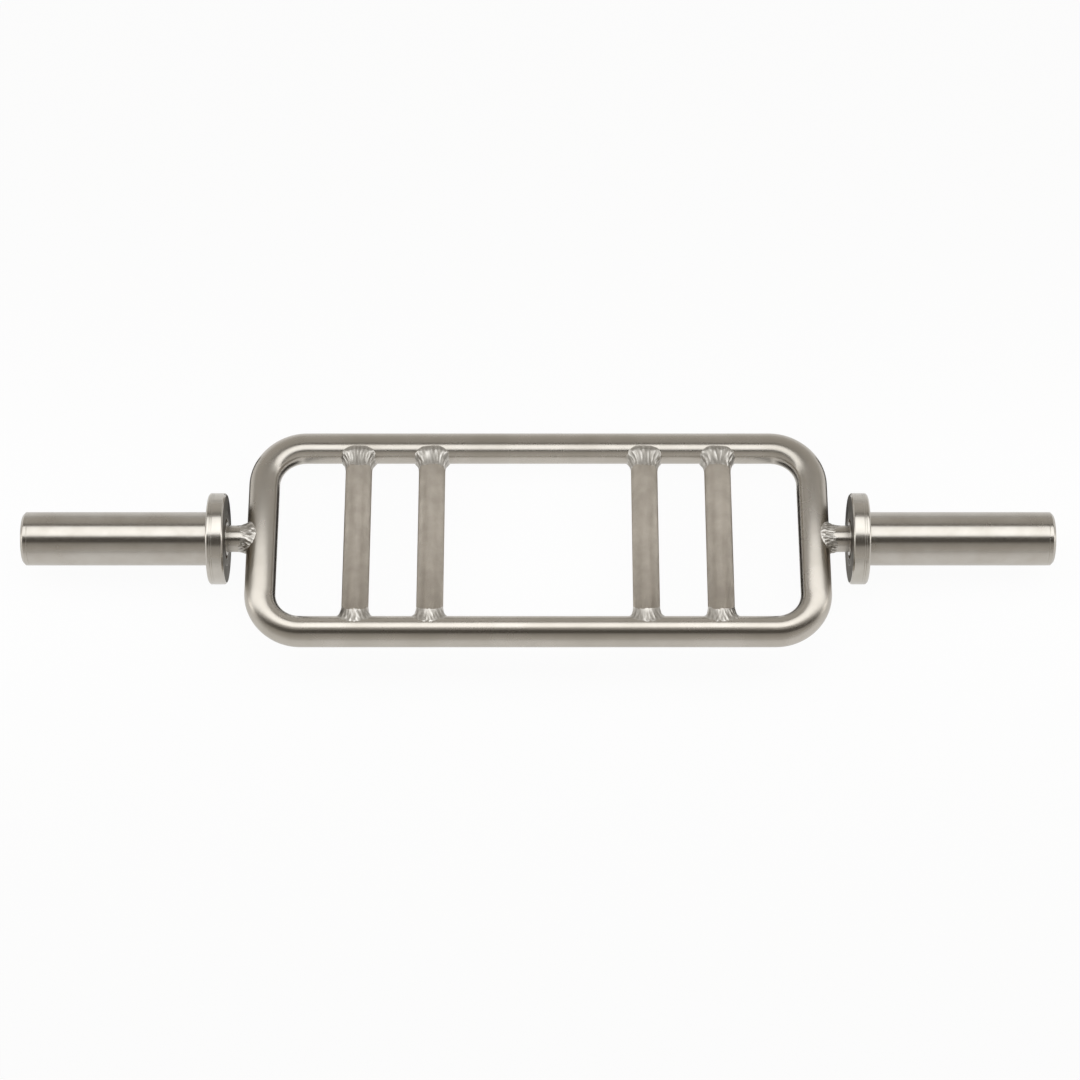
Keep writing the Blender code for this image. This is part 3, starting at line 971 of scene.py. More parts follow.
    def relief(
        self, turn: Array, share: Array, beat: Array, rng: np.random.Generator
    ) -> tuple[Array, Array]:
        """Work out how far the bead stands out of its hollow face.

        A ripple is a smoothed sawtooth of the turn, bowed along the face, which rises sharply and
        falls away gently. Its strength strays from ripple to ripple, lumps are added to it, and all
        that fades at the toes. On top and below the bead bulges besides, most where it nears the tube.

        Args:
            turn: The angles round the branch.
            share: The places down the face, from 0 to 1.
            beat: How far on in the ripples each angle is, in radians.
            rng: Where chance comes from.

        Returns:
            The height at each point, and how near each is to a crest, from 0 to 1.
        """
        bow = self.bow * (2 * share - 1) ** 2
        phase = (beat + bow + self.jitter.around(turn, rng)) / (2 * math.pi) % 1.0
        saw = np.where(phase < self.rise, phase / self.rise, (1 - phase) / (1 - self.rise))
        saw = saw**2 * (3 - 2 * saw)
        strength = self.strength + self.strength_stray.around(turn, rng)
        crest = saw * strength + self.lumps * self.frozen_lumps(turn, share, rng)
        fade = np.sin(math.pi * share) ** self.fade
        bulge = self.crown * np.abs(np.sin(turn)) * np.sin(math.pi * share**self.crown_skew)
        return self.height * crest * fade + bulge, 1 - fade * (1 - np.clip(crest, 0, 1))

    def shell(self) -> Shell:
        """Work out the weld's surface.

        At each turn about the branch, the face between the toes is a quadratic curve drawn in
        towards the root, and the bead's height is added square to the line from toe to toe.

        Returns:
            The surface, in the weld's own place.
        """
        rng = np.random.default_rng(self.seed)
        turn = np.linspace(0, 2 * math.pi, self.columns, endpoint=False)
        across = np.stack([np.zeros_like(turn), np.cos(turn), np.sin(turn)], axis=-1)
        beat = turn * self.ripples + self.beat_stray.around(turn, rng)
        root, branch_toe, tube_toe = self.toes(turn, across, beat, rng)
        share = np.linspace(0, 1, self.rows)[:, None]
        height, edge = self.relief(turn, share, beat, rng)
        pull = root + self.hollow * ((branch_toe + tube_toe) / 2 - root)
        chord = branch_toe - tube_toe
        along_chord = (across * chord).sum(1, keepdims=True) / (chord**2).sum(1, keepdims=True)
        outward = across - chord * along_chord
        outward /= np.linalg.norm(outward, axis=1, keepdims=True)
        down = share[..., None]
        face = branch_toe * (1 - down) ** 2 + 2 * pull * down * (1 - down) + tube_toe * down**2
        points = np.concatenate([face + height[..., None] * outward, root[None]])
        edge = np.concatenate([edge, np.zeros((1, self.columns))])
        x, y, angle = self.place
        cos, sin = math.cos(angle), math.sin(angle)
        turned = points @ np.array([[cos, sin, 0.0], [-sin, cos, 0.0], [0.0, 0.0, 1.0]])
        steps = np.linalg.norm(np.diff(points[:, 0], axis=0), axis=1)
        along = np.cumsum(np.concatenate([[0.0], steps, [self.leg]]))
        return Shell(turned + np.array([x, y, 0.0]), along, edge=edge)

    def build(self) -> bpy.types.Object:
        """Build the piece and ride it on the frame.

        Returns:
            The piece.
        """
        piece = make_piece(self.name, [self.shell()], WELD_FINISH)
        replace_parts(piece, self.node)
        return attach(piece, "frame")


@dataclass
class Welding:
    """Every weld on the bar. The rear ones show their tops, which are longer and fuller.

    Attributes:
        sizes: The bar's sizes.
        first_seed: The first weld's seed. Each later one's is one more.
    """

    sizes: Sizes = Sizes()
    first_seed: int = 12

    def build(self) -> None:
        """Build the eight grip welds and the two spindle welds."""
        seeds = count(self.first_seed)
        for side in Side:
            for grip in Grip:
                for rail in Rail:
                    self.grip_weld(side, grip, rail, next(seeds)).build()
            self.spindle_weld(side, next(seeds)).build()

    def grip_weld(self, side: Side, grip: Grip, rail: Rail, seed: int) -> Weld:
        """Describe the weld between a grip and a rail.

        Args:
            side: The end that the grip is nearer to.
            grip: The grip.
            rail: The rail.
            seed: What makes its ripples its own.

        Returns:
            The weld.
        """
        label = f"{grip.label}_{side.label}_{rail.name.lower()}"
        x = side.value * self.sizes.grip_offsets[grip.value]
        rear = rail is Rail.REAR
        return Weld(
            name=f"weld_{label}",
            node=f"grip_weld_{label}",
            branch_radius=self.sizes.grip_radius,
            leg=10.0,
            top_leg=16.0 if rear else 10.5,
            tube_leg=3.6,
            ripples=16,
            shoulder=1.0,
            height=0.5 if rear else 0.38,
            crown=1.7 if rear else 0.0,
            place=(x, rail.value * self.sizes.rail, -rail.value * math.pi / 2),
            seed=seed,
        )

    def spindle_weld(self, side: Side, seed: int) -> Weld:
        """Describe the lumpier weld between a spindle and a side tube.

        Args:
            side: The end.
            seed: What makes its ripples its own.

        Returns:
            The weld.
        """
        return Weld(
            name=f"weld_spindle_{side.label}",
            node=f"spindle_weld_{side.label}",
            branch_radius=self.sizes.spindle_radius,
            leg=8.0,
            top_leg=12.0,
            tube_leg=2.6,
            ripples=14,
            height=0.24,
            lumps=1.1,
            lump_run=14.0,
            waist=0.5,
            crown=0.5,
            place=(side.value * self.sizes.side_axis, 0.0, 0.0 if side is Side.RIGHT else math.pi),
            seed=seed,
        )


@dataclass
class TurnedWork:
    """Pieces that are turned about the bar's axis at one end, and ride on one body.

    Attributes:
        side: The end.
        sizes: The bar's sizes.
    """

    side: Side
    sizes: Sizes = Sizes()

    @property
    def body(self) -> str:
        """The body that they ride on."""
        return "frame"

    def turned(
        self,
        name: str,
        kind: str,
        corners: Sequence[Corner],
        finish: MetalFinish,
        slot: Slot,
        closed: bool = True,
    ) -> bpy.types.Object:
        """Turn a piece and ride it on the body.

        Args:
            name: The piece's name, without its side.
            kind: The name of the CAD node that it stands for, without its side.
            corners: Its outline.
            finish: Its finish.
            slot: The material slot. Not used.
            closed: Whether it is a ring.

        Returns:
            The piece.
        """
        shell = turned_shell(corners, closed)
        shell.points = half_turn(shell.points, self.side)
        piece = make_piece(f"{name}_{self.side.label}", [shell], finish)
        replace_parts(piece, f"{kind}_{self.side.label}")
        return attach(piece, self.body)


@dataclass
class SpindleEnd(TurnedWork):
    """What stays still at one end: the spindle and the ring that the sleeve turns against.

    Attributes:
        root_depth: How far the spindle reaches into the side tube.
        end_inset: How far it stops short of the sleeve's end.
        ring_thickness: The thrust ring's thickness.
        ring_proud: How far it stands out of the sleeve.
    """

    root_depth: float = 5.0
    end_inset: float = 12.6
    ring_thickness: float = 4.0
    ring_proud: float = 0.5

    def build(self) -> None:
        """Build the spindle and the thrust ring."""
        bar, ring = self.spindle_corners(), self.ring_corners()
        self.turned("spindle_bar", "spindle", bar, SPINDLE_FINISH, Slot.SPINDLES, closed=False)
        self.turned("thrust_collar", "thrust_ring", ring, RING_FINISH, Slot.THRUST_RINGS)

    def spindle_corners(self) -> list[Corner]:
        """Lay out the round bar from the side tube to inside the sleeve's cap.

        Returns:
            The outline's corners.
        """
        end = self.sizes.sleeve_end - self.end_inset
        start = self.sizes.side_axis + self.sizes.tube_radius - self.root_depth
        radius = self.sizes.spindle_radius - SKIN
        return [Corner(start, 0.0), Corner(start, radius, 0.3), Corner(end, radius, 1.2), Corner(end, 0.0)]

    def ring_corners(self) -> list[Corner]:
        """Lay out the ring that stands a little proud of the sleeve's bore.

        Returns:
            The outline's corners.
        """
        start = self.sizes.collar_face - self.ring_proud
        end = start + self.ring_thickness
        outer = (self.sizes.spindle_radius + self.sizes.bore_radius) / 2
        inner = self.sizes.spindle_radius + self.sizes.play
        return [
            Corner(start, inner, 0.2),
            Corner(end, inner),
            Corner(end, outer, 0.3),
            Corner(start, outer, 0.5),
        ]


@dataclass
class RevolvingSleeve(TurnedWork):
    """What turns at one end: sleeve, collar, inner bush, end cap and its snap ring.

    Attributes:
        end_chamfer: The chamfer of the sleeve's end.
        end_line: How far the sleeve's turned line lies from its end.
        collar_chamfer: The chamfers of the collar's rim.
        collar_lines: How far its two turned lines lie from the plate's side.
        cap_inset: How far the snap ring lies inside the sleeve's mouth.
        cap_seat: The radius that the cap sits in.
        cap_thickness: The cap's thickness.
        boss_radius: The radius of the raised middle of its face.
        boss_height: How high that stands.
        boss_draft: How much narrower it is on top.
        clip_thickness: The snap ring's thickness.
        clip_groove: How deep its groove is.
        clip_play: How much wider the groove is on each side.
        bush_inset: How far the inner bush lies inside the collar's mouth.
        bush_length: Its length.
        bush_fit: How much less than its bore's radius its own is drawn.
    """

    end_chamfer: float = 2.5
    end_line: float = 5.8
    collar_chamfer: float = 1.5
    collar_lines: tuple[float, float] = (3.7, 5.5)
    cap_inset: float = 3.0
    cap_seat: float = 20.5
    cap_thickness: float = 5.0
    boss_radius: float = 11.0
    boss_height: float = 1.5
    boss_draft: float = 0.75
    clip_thickness: float = 1.5
    clip_groove: float = 1.2
    clip_play: float = 0.15
    bush_inset: float = 3.8
    bush_length: float = 30.0
    bush_fit: float = 0.05

    @property
    def body(self) -> str:
        """The revolving sleeve's body."""
        return self.side.sleeve_body

    def build(self) -> None:
        """Build the five pieces."""
        sizes = self.sizes
        sleeve = self.turned("sleeve", "sleeve_tube", self.sleeve_corners(), SLEEVE_FINISH, Slot.SLEEVES)
        rim = self.collar_corners()
        collar = self.turned("collar", "sleeve_collar", rim, COLLAR_FINISH, Slot.COLLARS)
        # The faces towards the side tube get painted shade: the darker face finish
        for piece in (sleeve, collar):
            at = np.abs(face_centres(piece)[:, 0])
            redress(piece, PAINTED_SHADE_FACE, at < sizes.collar_face + IN_PLANE)
        self.turned("inner_bush", "bush_inner", self.bush_corners(), BUSH_FINISH, Slot.BUSHES)
        self.turned("cap", "end_cap", self.cap_corners(), RING_FINISH, Slot.END_CAPS, closed=False)
        CapSnapRing(
            side=self.side,
            start=sizes.sleeve_end - self.cap_inset - self.clip_thickness,
            thickness=self.clip_thickness,
            radius=self.cap_seat + self.clip_groove - sizes.gap,
        ).build()

    def sleeve_corners(self) -> list[Corner]:
        """Lay out the tube, with its cap seat, the snap ring's groove and a fine turned line.

        Returns:
            The outline's corners.
        """
        sizes = self.sizes
        end, seat = sizes.sleeve_end, self.cap_seat
        clip_end = end - self.cap_inset + self.clip_play
        clip_start = clip_end - self.clip_thickness - 2 * self.clip_play
        back = end - self.cap_inset - self.clip_thickness - self.cap_thickness - 2 * sizes.gap
        mouth = self.end_chamfer / 4
        return [
            Corner(sizes.collar_face, sizes.bore_radius, 0.3),
            Corner(back, sizes.bore_radius),
            Corner(back, seat),
            Corner(clip_start, seat),
            Corner(clip_start, seat + self.clip_groove),
            Corner(clip_end, seat + self.clip_groove),
            Corner(clip_end, seat),
            Corner(end - mouth, seat, 0.1),
            Corner(end, seat + mouth, 0.15),
            Corner(end, sizes.sleeve_radius - self.end_chamfer, 0.25),
            Corner(end - self.end_chamfer, sizes.sleeve_radius, 0.35),
            *groove(end - self.end_line, sizes.sleeve_radius),
            Corner(sizes.collar_face, sizes.sleeve_radius, 0.3),
        ]

    def collar_corners(self) -> list[Corner]:
        """Lay out the collar, with its chamfers and two fine turned lines near the plate's side.

        Returns:
            The outline's corners.
        """
        sizes = self.sizes
        start, end = sizes.collar_face, sizes.plate_face
        inner, outer = sizes.sleeve_radius + SKIN, sizes.collar_radius
        chamfer = self.collar_chamfer
        lines = [corner for line in self.collar_lines for corner in groove(end - line, outer)]
        return [
            Corner(start, inner, 0.25),
            Corner(end, inner, 0.25),
            Corner(end, outer - chamfer, 0.4),
            Corner(end - chamfer, outer, 0.4),
            *lines,
            Corner(start + chamfer, outer, 0.4),
            Corner(start, outer - chamfer, 0.4),
        ]

    def bush_corners(self) -> list[Corner]:
        """Lay out the inner bush.

        Returns:
            The outline's corners.
        """
        start = self.sizes.collar_face + self.bush_inset
        end = start + self.bush_length
        inner = self.sizes.spindle_radius + self.sizes.play
        outer = self.sizes.bore_radius - self.bush_fit
        return [
            Corner(start, inner, 0.4),
            Corner(end, inner, 0.4),
            Corner(end, outer, 0.6),
            Corner(start, outer, 0.6),
        ]

    def cap_corners(self) -> list[Corner]:
        """Lay out the end cap, from its middle at the back to its middle at the front.

        Returns:
            The outline's corners.
        """
        face = self.sizes.sleeve_end - self.cap_inset - self.clip_thickness - self.sizes.gap
        back, top = face - self.cap_thickness, face + self.boss_height
        edge = self.cap_seat - self.sizes.play
        return [
            Corner(back, 0.0),
            Corner(back, edge, 0.3),
            Corner(face, edge, 0.3),
            Corner(face, self.boss_radius, 0.35),
            Corner(top, self.boss_radius - self.boss_draft, 0.4),
            Corner(top, 0.0),
        ]


@dataclass
class CapSnapRing:
    """The ring that holds a cap: a band with an opening on top, and a holed lug at each end.

    Attributes:
        side: The end of the bar.
        start: Where its inner face lies.
        thickness: Its thickness.
        radius: Its outer radius.
        band_width: How wide the band is.
        opening: Half the angle of the opening.
        band_gap: The angle from there to the band's end.
        lug_gap: The angle from there to the lug's middle.
        lug_half: Half a lug's width.
        hole_radius: The radius of its hole.
        band_sections: The sections of the band.
        lug_sections: The sections of a lug.
    """

    side: Side
    start: float
    thickness: float
    radius: float
    band_width: float = 3.2
    opening: float = math.radians(17)
    band_gap: float = 0.1
    lug_gap: float = 0.13
    lug_half: float = 2.5
    hole_radius: float = 1.0
    band_sections: int = 120
    lug_sections: int = 48

    @property
    def faces(self) -> Array:
        """Where the four corners of a section lie along X."""
        return self.start + self.thickness * np.array([0.0, 1.0, 1.0, 0.0])

    def band(self) -> Shell:
        """Work out the band: a rectangle that goes round the bar's axis from one lug to the other.

        Returns:
            Its surface, with a lid at each end.
        """
        spare = self.opening + self.band_gap
        angle = math.pi / 2 + np.linspace(spare, 2 * math.pi - spare, self.band_sections)[:, None]
        inner = self.radius - self.band_width
        radius = np.array([inner, inner, self.radius, self.radius])
        x = np.broadcast_to(self.faces, (self.band_sections, 4))
        band = np.stack([x, radius * np.cos(angle), radius * np.sin(angle)], axis=-1)
        lids = [np.repeat(band[end].mean(axis=0)[None, None], 4, axis=1) for end in (0, -1)]
        along = np.arange(self.band_sections + 2.0)
        return Shell(np.concatenate([lids[0], band, lids[1]]), along, closed=False)

    def lug(self, hand: int) -> Shell:
        """Work out a lug: the same rectangle, which goes round the lug's own hole.

        Its outside is a rounded square: half its width over the fourth root of (cosine to the fourth
        plus sine to the fourth).

        Args:
            hand: Which side of the opening it is on, as a sign.

        Returns:
            Its surface.
        """
        centre = math.pi / 2 + hand * (self.opening + self.lug_gap)
        away = self.radius - self.lug_half
        middle = np.array([0.0, away * math.cos(centre), away * math.sin(centre)])
        turn = np.linspace(0, 2 * math.pi, self.lug_sections, endpoint=False)
        square = self.lug_half / (np.cos(turn) ** 4 + np.sin(turn) ** 4) ** 0.25
        hole = np.full_like(turn, self.hole_radius)
        out = np.stack([hole, hole, square, square])
        x = np.repeat(self.faces[:, None], self.lug_sections, axis=1)
        lug = np.stack([x, out * np.cos(turn + centre), out * np.sin(turn + centre)], axis=-1)
        return Shell(lug + middle, self.thickness * np.arange(5.0))

    def build(self) -> bpy.types.Object:
        """Build the piece and ride it on the sleeve.

        Returns:
            The piece.
        """
        shells = [self.band(), self.lug(-1), self.lug(1)]
        for shell in shells:
            shell.points = half_turn(shell.points, self.side)
        piece = make_piece(f"cap_snap_ring_{self.side.label}", shells, CLIP_FINISH)
        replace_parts(piece, f"end_cap_clip_{self.side.label}")
        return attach(piece, self.side.sleeve_body)


@dataclass
class HiddenBearings:
    """The CAD nodes inside the sleeves, which keep their shape and get their finish.

    Attributes:
        finishes: Each kind of node with its finish.
    """

    finishes: tuple[tuple[str, MetalFinish], ...] = (
        ("thrust_washer", WASHER_FINISH),
        ("spindle_clip", CLIP_FINISH),
        ("bush_outer", BUSH_FINISH),
    )

    def dress(self) -> None:
        """Give each node its material."""
        for side in Side:
            for kind, finish in self.finishes:
                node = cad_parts[f"{kind}_{side.label}"]
                node.data.materials.clear()
                node.data.materials.append(finish.material())
                log.info("%s: dressed in %s", node.name, finish.name)


@dataclass
class Studio:
    """Floor, lamps and camera, in metres.

    What the bar mirrors is set out by the camera's own axes: a place by how far it is up the image
    and back towards the camera, and an angle about X from the way back, with up the image positive.

    Attributes:
        floor_z: The floor's height.
        floor_radius: Its radius.
        floor_sides: The corners of its rim.
        wall_height: The height of the wall round it.
        white_to_camera: How much of their white is their own, as the camera sees them.
        floor_in_reflections: The same for the floor where metal mirrors it.
        wall_in_reflections: The same for the wall.
        camera_place: The camera's place.
        camera_way: The way that it looks.
        lens: Its focal length in millimetres, for a sensor 36 mm wide.
        shift_y: Its shift.
        room_tint: The colour of the room's light.
        room_levels: The room's brightness at each angle, in degrees.
        end_levels: Its brightness beyond the bar's ends, at each share of the way to X.
        strip_near: The strip light's near edge, up and back.
        strip_far: Its far edge.
        strip_length: Its length along X.
        strip_radiance: The brightness of its bands, from its near edge on.
        strip_tint: Its colour.
        card_distance: How far back the dark card hangs.
        card_edges: How far up its edges are.
        card_level: Its brightness.
        card_reach: How far both cards reach along X.
        border_width: The width of the strip light's dark border.
        border_level: The border's brightness.
        end_light_at: How far along X the end lights stand.
        end_light_size: Their width and height.
        end_light_radiance: Their brightness.
        boards: For each board by a side tube, its X, its ends along Y and its brightness.
        board_top: The boards' height.
    """

    floor_z: float = -0.0427
    floor_radius: float = 12.0
    floor_sides: int = 96
    wall_height: float = 2.9
    white_to_camera: float = 0.95
    floor_in_reflections: float = 0.68
    wall_in_reflections: float = 0.35
    camera_place: tuple[float, float, float] = (0.00174, -1.2307, 2.4890)
    camera_way: tuple[float, float, float] = (0.0, 0.4432, -0.8964)
    lens: float = 98.94
    shift_y: float = -0.0011
    room_tint: tuple[float, float, float] = (1.04, 1.0, 0.94)
    room_levels: tuple[tuple[float, float], ...] = (
        (-180, 0.68),
        (-64, 0.64),
        (-45, 0.55),
        (-28, 0.42),
        (0, 0.30),
        (30, 0.40),
        (64, 0.44),
        (74, 0.45),
        (90, 0.54),
        (116, 0.57),
        (180, 0.68),
    )
    end_levels: tuple[tuple[float, float], ...] = (
        (0.0, 0.50),
        (0.7, 0.50),
        (0.93, 0.25),
        (0.975, 1.0),
        (1.0, 1.0),
    )
    strip_near: tuple[float, float] = (0.1765, 0.1395)
    strip_far: tuple[float, float] = (0.045, 0.243)
    strip_length: float = 2.4
    strip_radiance: tuple[float, ...] = (1.38, 1.48, 1.6, 1.6)
    strip_tint: tuple[float, float, float] = (0.975, 1.0, 1.03)
    card_distance: float = 0.7
    card_edges: tuple[float, float] = (-0.2195, 0.118)
    card_level: float = 0.10
    card_reach: float = 1.6
    border_width: float = 0.05
    border_level: float = 0.17
    end_light_at: float = 1.3
    end_light_size: tuple[float, float] = (0.26, 0.28)
    end_light_radiance: float = 1.6
    boards: tuple[tuple[float, float, float, float], ...] = (
        (0.223, -0.072, 0.072, 0.04),
        (0.284, 0.028, 0.112, 0.10),
    )
    board_top: float = -0.003

    @property
    def axes(self) -> tuple[Vector, Vector]:
        """The way up the image and the way back to the camera."""
        back = -Vector(self.camera_way)
        return Vector((0.0, back.z, -back.y)), back

    def build(self) -> None:
        """Build the floor, the world, the lamps and the camera."""
        self.backdrop()
        self.world()
        self.strip_light()
        self.end_lights()
        self.dark_cards()
        self.boards_by_tubes()
        self.camera()
        bpy.context.scene.view_settings.view_transform = "Standard"

    def backdrop(self) -> None:
        """Lay a round white floor, with a low white wall far off round it.

        Each is a ring: two circles about Z, of which the floor's first is its middle.
        """
        rim = (self.floor_radius, self.floor_z)
        top = (self.floor_radius, self.floor_z + self.wall_height)
        self.ring("floor", ((0.0, self.floor_z), rim), self.floor_in_reflections)
        self.ring("wall", (rim, top), self.wall_in_reflections)

    def ring(self, name: str, circles: Sequence[tuple[float, float]], in_reflections: float) -> None:
        """Span a ring of paper between two circles.

        Args:
            name: Its name.
            circles: The radius and height of both.
            in_reflections: How much of its white is its own where metal mirrors it.
        """
        sides = self.floor_sides
        angle = np.linspace(0, 2 * math.pi, sides, endpoint=False)
        radius, height = (np.array(part)[:, None] for part in zip(*circles))
        level = np.repeat(height, sides, axis=1)
        points = np.stack([radius * np.cos(angle), radius * np.sin(angle), level], axis=-1)
        column = np.arange(sides)
        after = (column + 1) % sides
        faces = np.stack([column, after, after + sides, column + sides], axis=-1)
        mesh = bpy.data.meshes.new(name)
        mesh.from_pydata(points.reshape(-1, 3).tolist(), [], faces.tolist())
        merge_poles(mesh)
        mesh.materials.append(self.paper(f"matt_white_{name}", in_reflections))
        surface = bpy.data.objects.new(name, mesh)
        bpy.context.scene.collection.objects.link(surface)

    def paper(self, name: str, in_reflections: float) -> bpy.types.Material:
        """Make matt white paper that shows white and keeps a faint shadow.

        Args:
            name: The material's name.
            in_reflections: How much of its white is its own where metal mirrors it.

        Returns:
            The material.
        """
        material = bpy.data.materials.new(name)
        material.use_nodes = True
        tree = material.node_tree
        tree.nodes.clear()
        rays = add_node(tree, "ShaderNodeLightPath").outputs
        mirrored = add_node(
            tree,
            "ShaderNodeMath",
            {0: rays["Is Glossy Ray"], 1: rays["Is Transmission Ray"]},
            operation="MAXIMUM",
        ).outputs["Value"]
        reflected = add_node(
            tree, "ShaderNodeMath", {0: mirrored, 1: in_reflections}, operation="MULTIPLY"
        ).outputs["Value"]
        share = add_node(
            tree,
            "ShaderNodeMath",
            {0: rays["Is Camera Ray"], 1: self.white_to_camera, 2: reflected},
            operation="MULTIPLY_ADD",
        ).outputs["Value"]
        lit = add_node(tree, "ShaderNodeBsdfDiffuse", {"Color": linear("#F7F7F7")}).outputs["BSDF"]
        white = add_node(tree, "ShaderNodeEmission", {"Color": linear("#FFFFFF")}).outputs["Emission"]
        mixed = add_node(tree, "ShaderNodeMixShader", {0: share, 1: lit, 2: white}).outputs["Shader"]
        add_node(tree, "ShaderNodeOutputMaterial", {"Surface": mixed})
        return material

    def world(self) -> None:
        """Surround the bar with a soft room, darker on the camera's side and towards the bar's ends."""
        scene = bpy.context.scene
        scene.world = bpy.data.worlds.new("studio_room")
        scene.world.use_nodes = True
        tree = scene.world.node_tree
        tree.nodes.clear()
        way = add_node(tree, "ShaderNodeTexCoord").outputs["Generated"]
        along = [
            add_node(
                tree, "ShaderNodeVectorMath", {0: way, 1: axis}, operation="DOT_PRODUCT"
            ).outputs["Value"]
            for axis in self.axes
        ]
        angle = add_node(
            tree, "ShaderNodeMath", {0: along[0], 1: along[1]}, operation="ARCTAN2"
        ).outputs["Value"]
        share = add_node(
            tree,
            "ShaderNodeMapRange",
            {"Value": angle, "From Min": -math.pi, "From Max": math.pi},
        ).outputs["Result"]
        ramp = add_node(tree, "ShaderNodeValToRGB", {"Fac": share})
        around = [((degrees + 180) / 360, level) for degrees, level in self.room_levels]
        self.fill_ramp(ramp.color_ramp, around)
        across = add_node(tree, "ShaderNodeSeparateXYZ", {"Vector": way}).outputs["X"]
        sideways = add_node(tree, "ShaderNodeMath", {0: across}, operation="ABSOLUTE").outputs["Value"]
        ends = add_node(tree, "ShaderNodeValToRGB", {"Fac": sideways})
        self.fill_ramp(ends.color_ramp, self.end_levels)
        fade = add_node(tree, "ShaderNodeMath", {0: sideways, 1: 2.0}, operation="POWER").outputs["Value"]
        tone = add_node(
            tree,
            "ShaderNodeMixRGB",
            {"Fac": fade, "Color1": ramp.outputs["Color"], "Color2": ends.outputs["Color"]},
        ).outputs["Color"]
        light = add_node(tree, "ShaderNodeBackground", {"Color": tone}).outputs["Background"]
        add_node(tree, "ShaderNodeOutputWorld", {"Surface": light})

    def fill_ramp(self, ramp: bpy.types.ColorRamp, levels: Sequence[tuple[float, float]]) -> None:
        """Set a ramp to levels of the room's warm white.

        Args:
            ramp: The ramp.
            levels: Places on it, each with its brightness.
        """
        while len(ramp.elements) < len(levels):
            ramp.elements.new(0.5)
        for element, (place, level) in zip(ramp.elements, levels):
            element.position = place
            element.color = (*(level * part for part in self.room_tint), 1.0)

    def place(self, up: float, back: float, across: float = 0.0) -> Vector:
        """Find a place from the camera's axes.

        Args:
            up: Metres up the image.
            back: Metres towards the camera.
            across: Metres along X.

        Returns:
            The place.
        """
        upwards, to_camera = self.axes
        return upwards * up + to_camera * back + Vector((across, 0.0, 0.0))

    def lamp(
        self,
        name: str,
        middle: Vector,
        sides: tuple[Vector, Vector],
        size: tuple[float, float],
        radiance: float,
    ) -> bpy.types.Object:
        """Hang a rectangular lamp that the camera doesn't see.

        Args:
            name: Its name.
            middle: Its middle.
            sides: The ways that its width and its height run. It shines against their cross product.
            size: Its width and height, in metres.
            radiance: Its brightness, where 1 shows as white.

        Returns:
            The lamp.
        """
        data = bpy.data.lights.new(name, "AREA")
        data.shape = "RECTANGLE"
        data.size, data.size_y = size
        data.energy = radiance * math.pi * data.size * data.size_y
        light = bpy.data.objects.new(name, data)
        turn = Matrix((*sides, sides[0].cross(sides[1]))).transposed().to_4x4()
        light.matrix_world = Matrix.Translation(middle) @ turn
        light.visible_camera = False
        bpy.context.scene.collection.objects.link(light)
        return light

    def strip_light(self) -> None:
        """Hang a long strip light over the bar, in bands that grow brighter away from its near edge."""
        near, far = self.place(*self.strip_near), self.place(*self.strip_far)
        sides = (Vector((1.0, 0.0, 0.0)), (near - far).normalized())
        if sides[0].cross(sides[1]).dot(near + far) < 0:
            sides = (sides[0], -sides[1])
        bands = len(self.strip_radiance)
        size = (self.strip_length, (near - far).length / bands)
        for number, radiance in enumerate(self.strip_radiance):
            middle = near.lerp(far, (number + 0.5) / bands)
            light = self.lamp(f"strip_light_{number}", middle, sides, size, radiance)
            light.data.color = self.strip_tint

    def end_lights(self) -> None:
        """Stand a small light past each end of the bar, for the glint on the sleeves' chamfers."""
        height = self.floor_z + self.end_light_size[1] / 2
        for side in Side:
            middle = Vector((side.value * self.end_light_at, 0.0, height))
            sides = (Vector((0.0, side.value, 0.0)), Vector((0.0, 0.0, 1.0)))
            name = f"end_light_{side.label}"
            self.lamp(name, middle, sides, self.end_light_size, self.end_light_radiance)

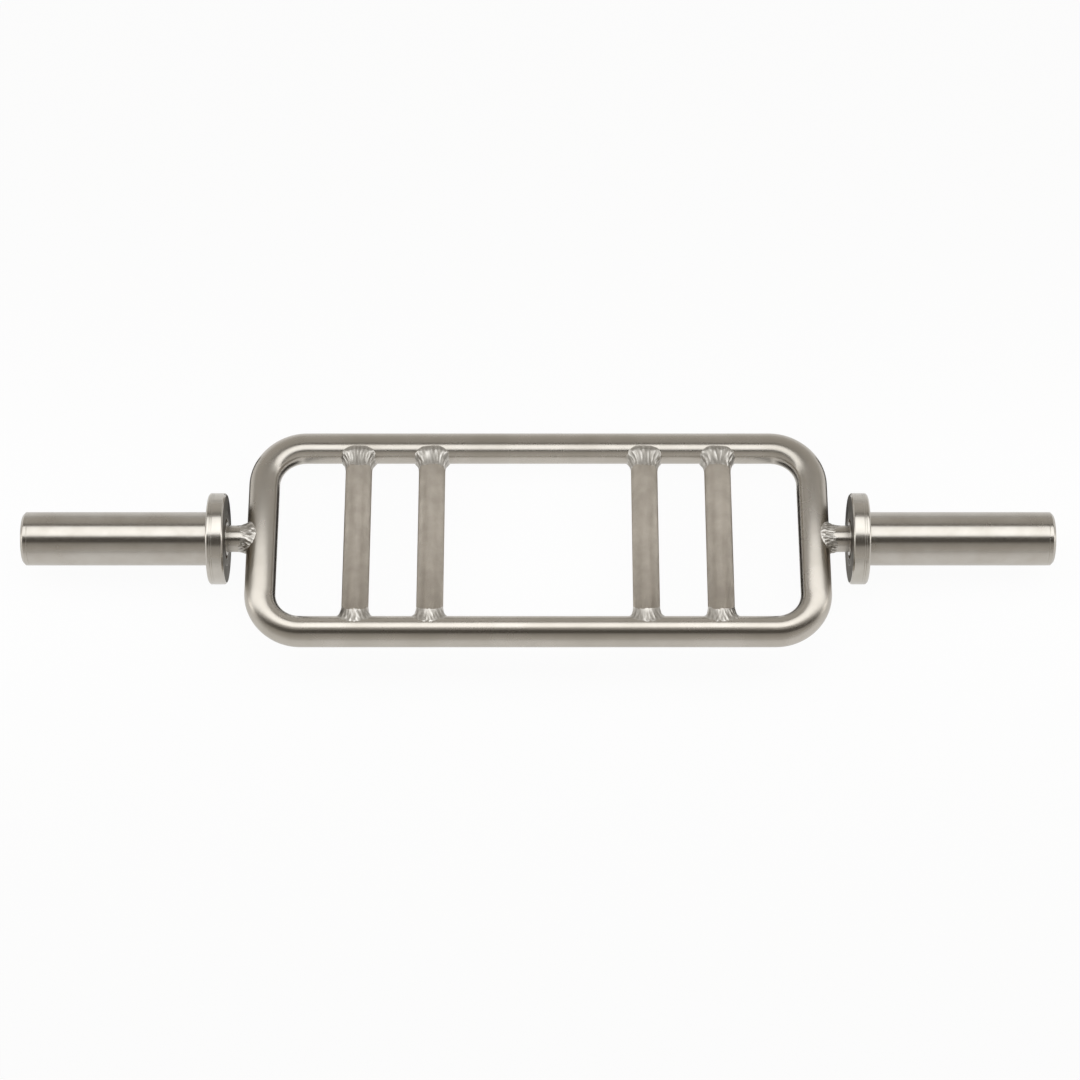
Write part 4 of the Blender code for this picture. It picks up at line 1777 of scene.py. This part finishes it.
    def dark_cards(self) -> None:
        """Hang dark cards on both sides of the strip light, for the dark lines beside highlights."""
        near, far = Vector(self.strip_near), Vector(self.strip_far)
        border = near + (near - far).normalized() * self.border_width
        low, high = ((edge, self.card_distance) for edge in self.card_edges)
        reach = self.card_reach
        for name, first, second, level in (
            ("dark_card", low, high, self.card_level),
            ("dark_border", near, border, self.border_level),
        ):
            ends = ((first, -reach), (first, reach), (second, reach), (second, -reach))
            self.card(name, [self.place(*edge, across) for edge, across in ends], level)

    def boards_by_tubes(self) -> None:
        """Stand low dark boards inside and outside each side tube, which draw its dark edges."""
        for side in Side:
            for number, (across, start, end, level) in enumerate(self.boards):
                x = side.value * across
                corners = [
                    Vector((x, start, self.floor_z)),
                    Vector((x, end, self.floor_z)),
                    Vector((x, end, self.board_top)),
                    Vector((x, start, self.board_top)),
                ]
                self.card(f"dark_board_{side.label}_{number}", corners, level)

    def card(self, name: str, corners: Sequence[Vector], level: float) -> None:
        """Put up a card that only reflections show.

        Args:
            name: Its name.
            corners: Its corners, in order round it.
            level: Its brightness.
        """
        mesh = bpy.data.meshes.new(name)
        mesh.from_pydata(corners, [], [(0, 1, 2, 3)])
        material = bpy.data.materials.new(f"matt_{name}")
        material.use_nodes = True
        tree = material.node_tree
        tree.nodes.clear()
        glow = add_node(tree, "ShaderNodeEmission", {"Color": linear("#E6DCCF"), "Strength": level})
        add_node(tree, "ShaderNodeOutputMaterial", {"Surface": glow.outputs["Emission"]})
        mesh.materials.append(material)
        card = bpy.data.objects.new(name, mesh)
        card.visible_camera = False
        card.visible_shadow = False
        card.visible_diffuse = False
        bpy.context.scene.collection.objects.link(card)

    def camera(self) -> None:
        """Put the camera where the photograph was taken from."""
        data = bpy.data.cameras.new("camera")
        data.lens = self.lens
        data.sensor_width = 36.0
        data.shift_y = self.shift_y
        data.clip_start = 0.1
        data.clip_end = 100.0
        camera = bpy.data.objects.new("camera", data)
        camera.location = self.camera_place
        camera.rotation_euler = Vector(self.camera_way).to_track_quat("-Z", "Y").to_euler()
        bpy.context.scene.collection.objects.link(camera)
        bpy.context.scene.camera = camera


def main() -> None:
    """Build the bar's looks, then the studio."""
    logging.basicConfig(level=logging.INFO, format="%(name)s: %(message)s")
    HandFrame().build()
    Welding().build()
    for side in Side:
        SpindleEnd(side).build()
        RevolvingSleeve(side).build()
    HiddenBearings().dress()
    Studio().build()


if __name__ == "__main__":
    main()
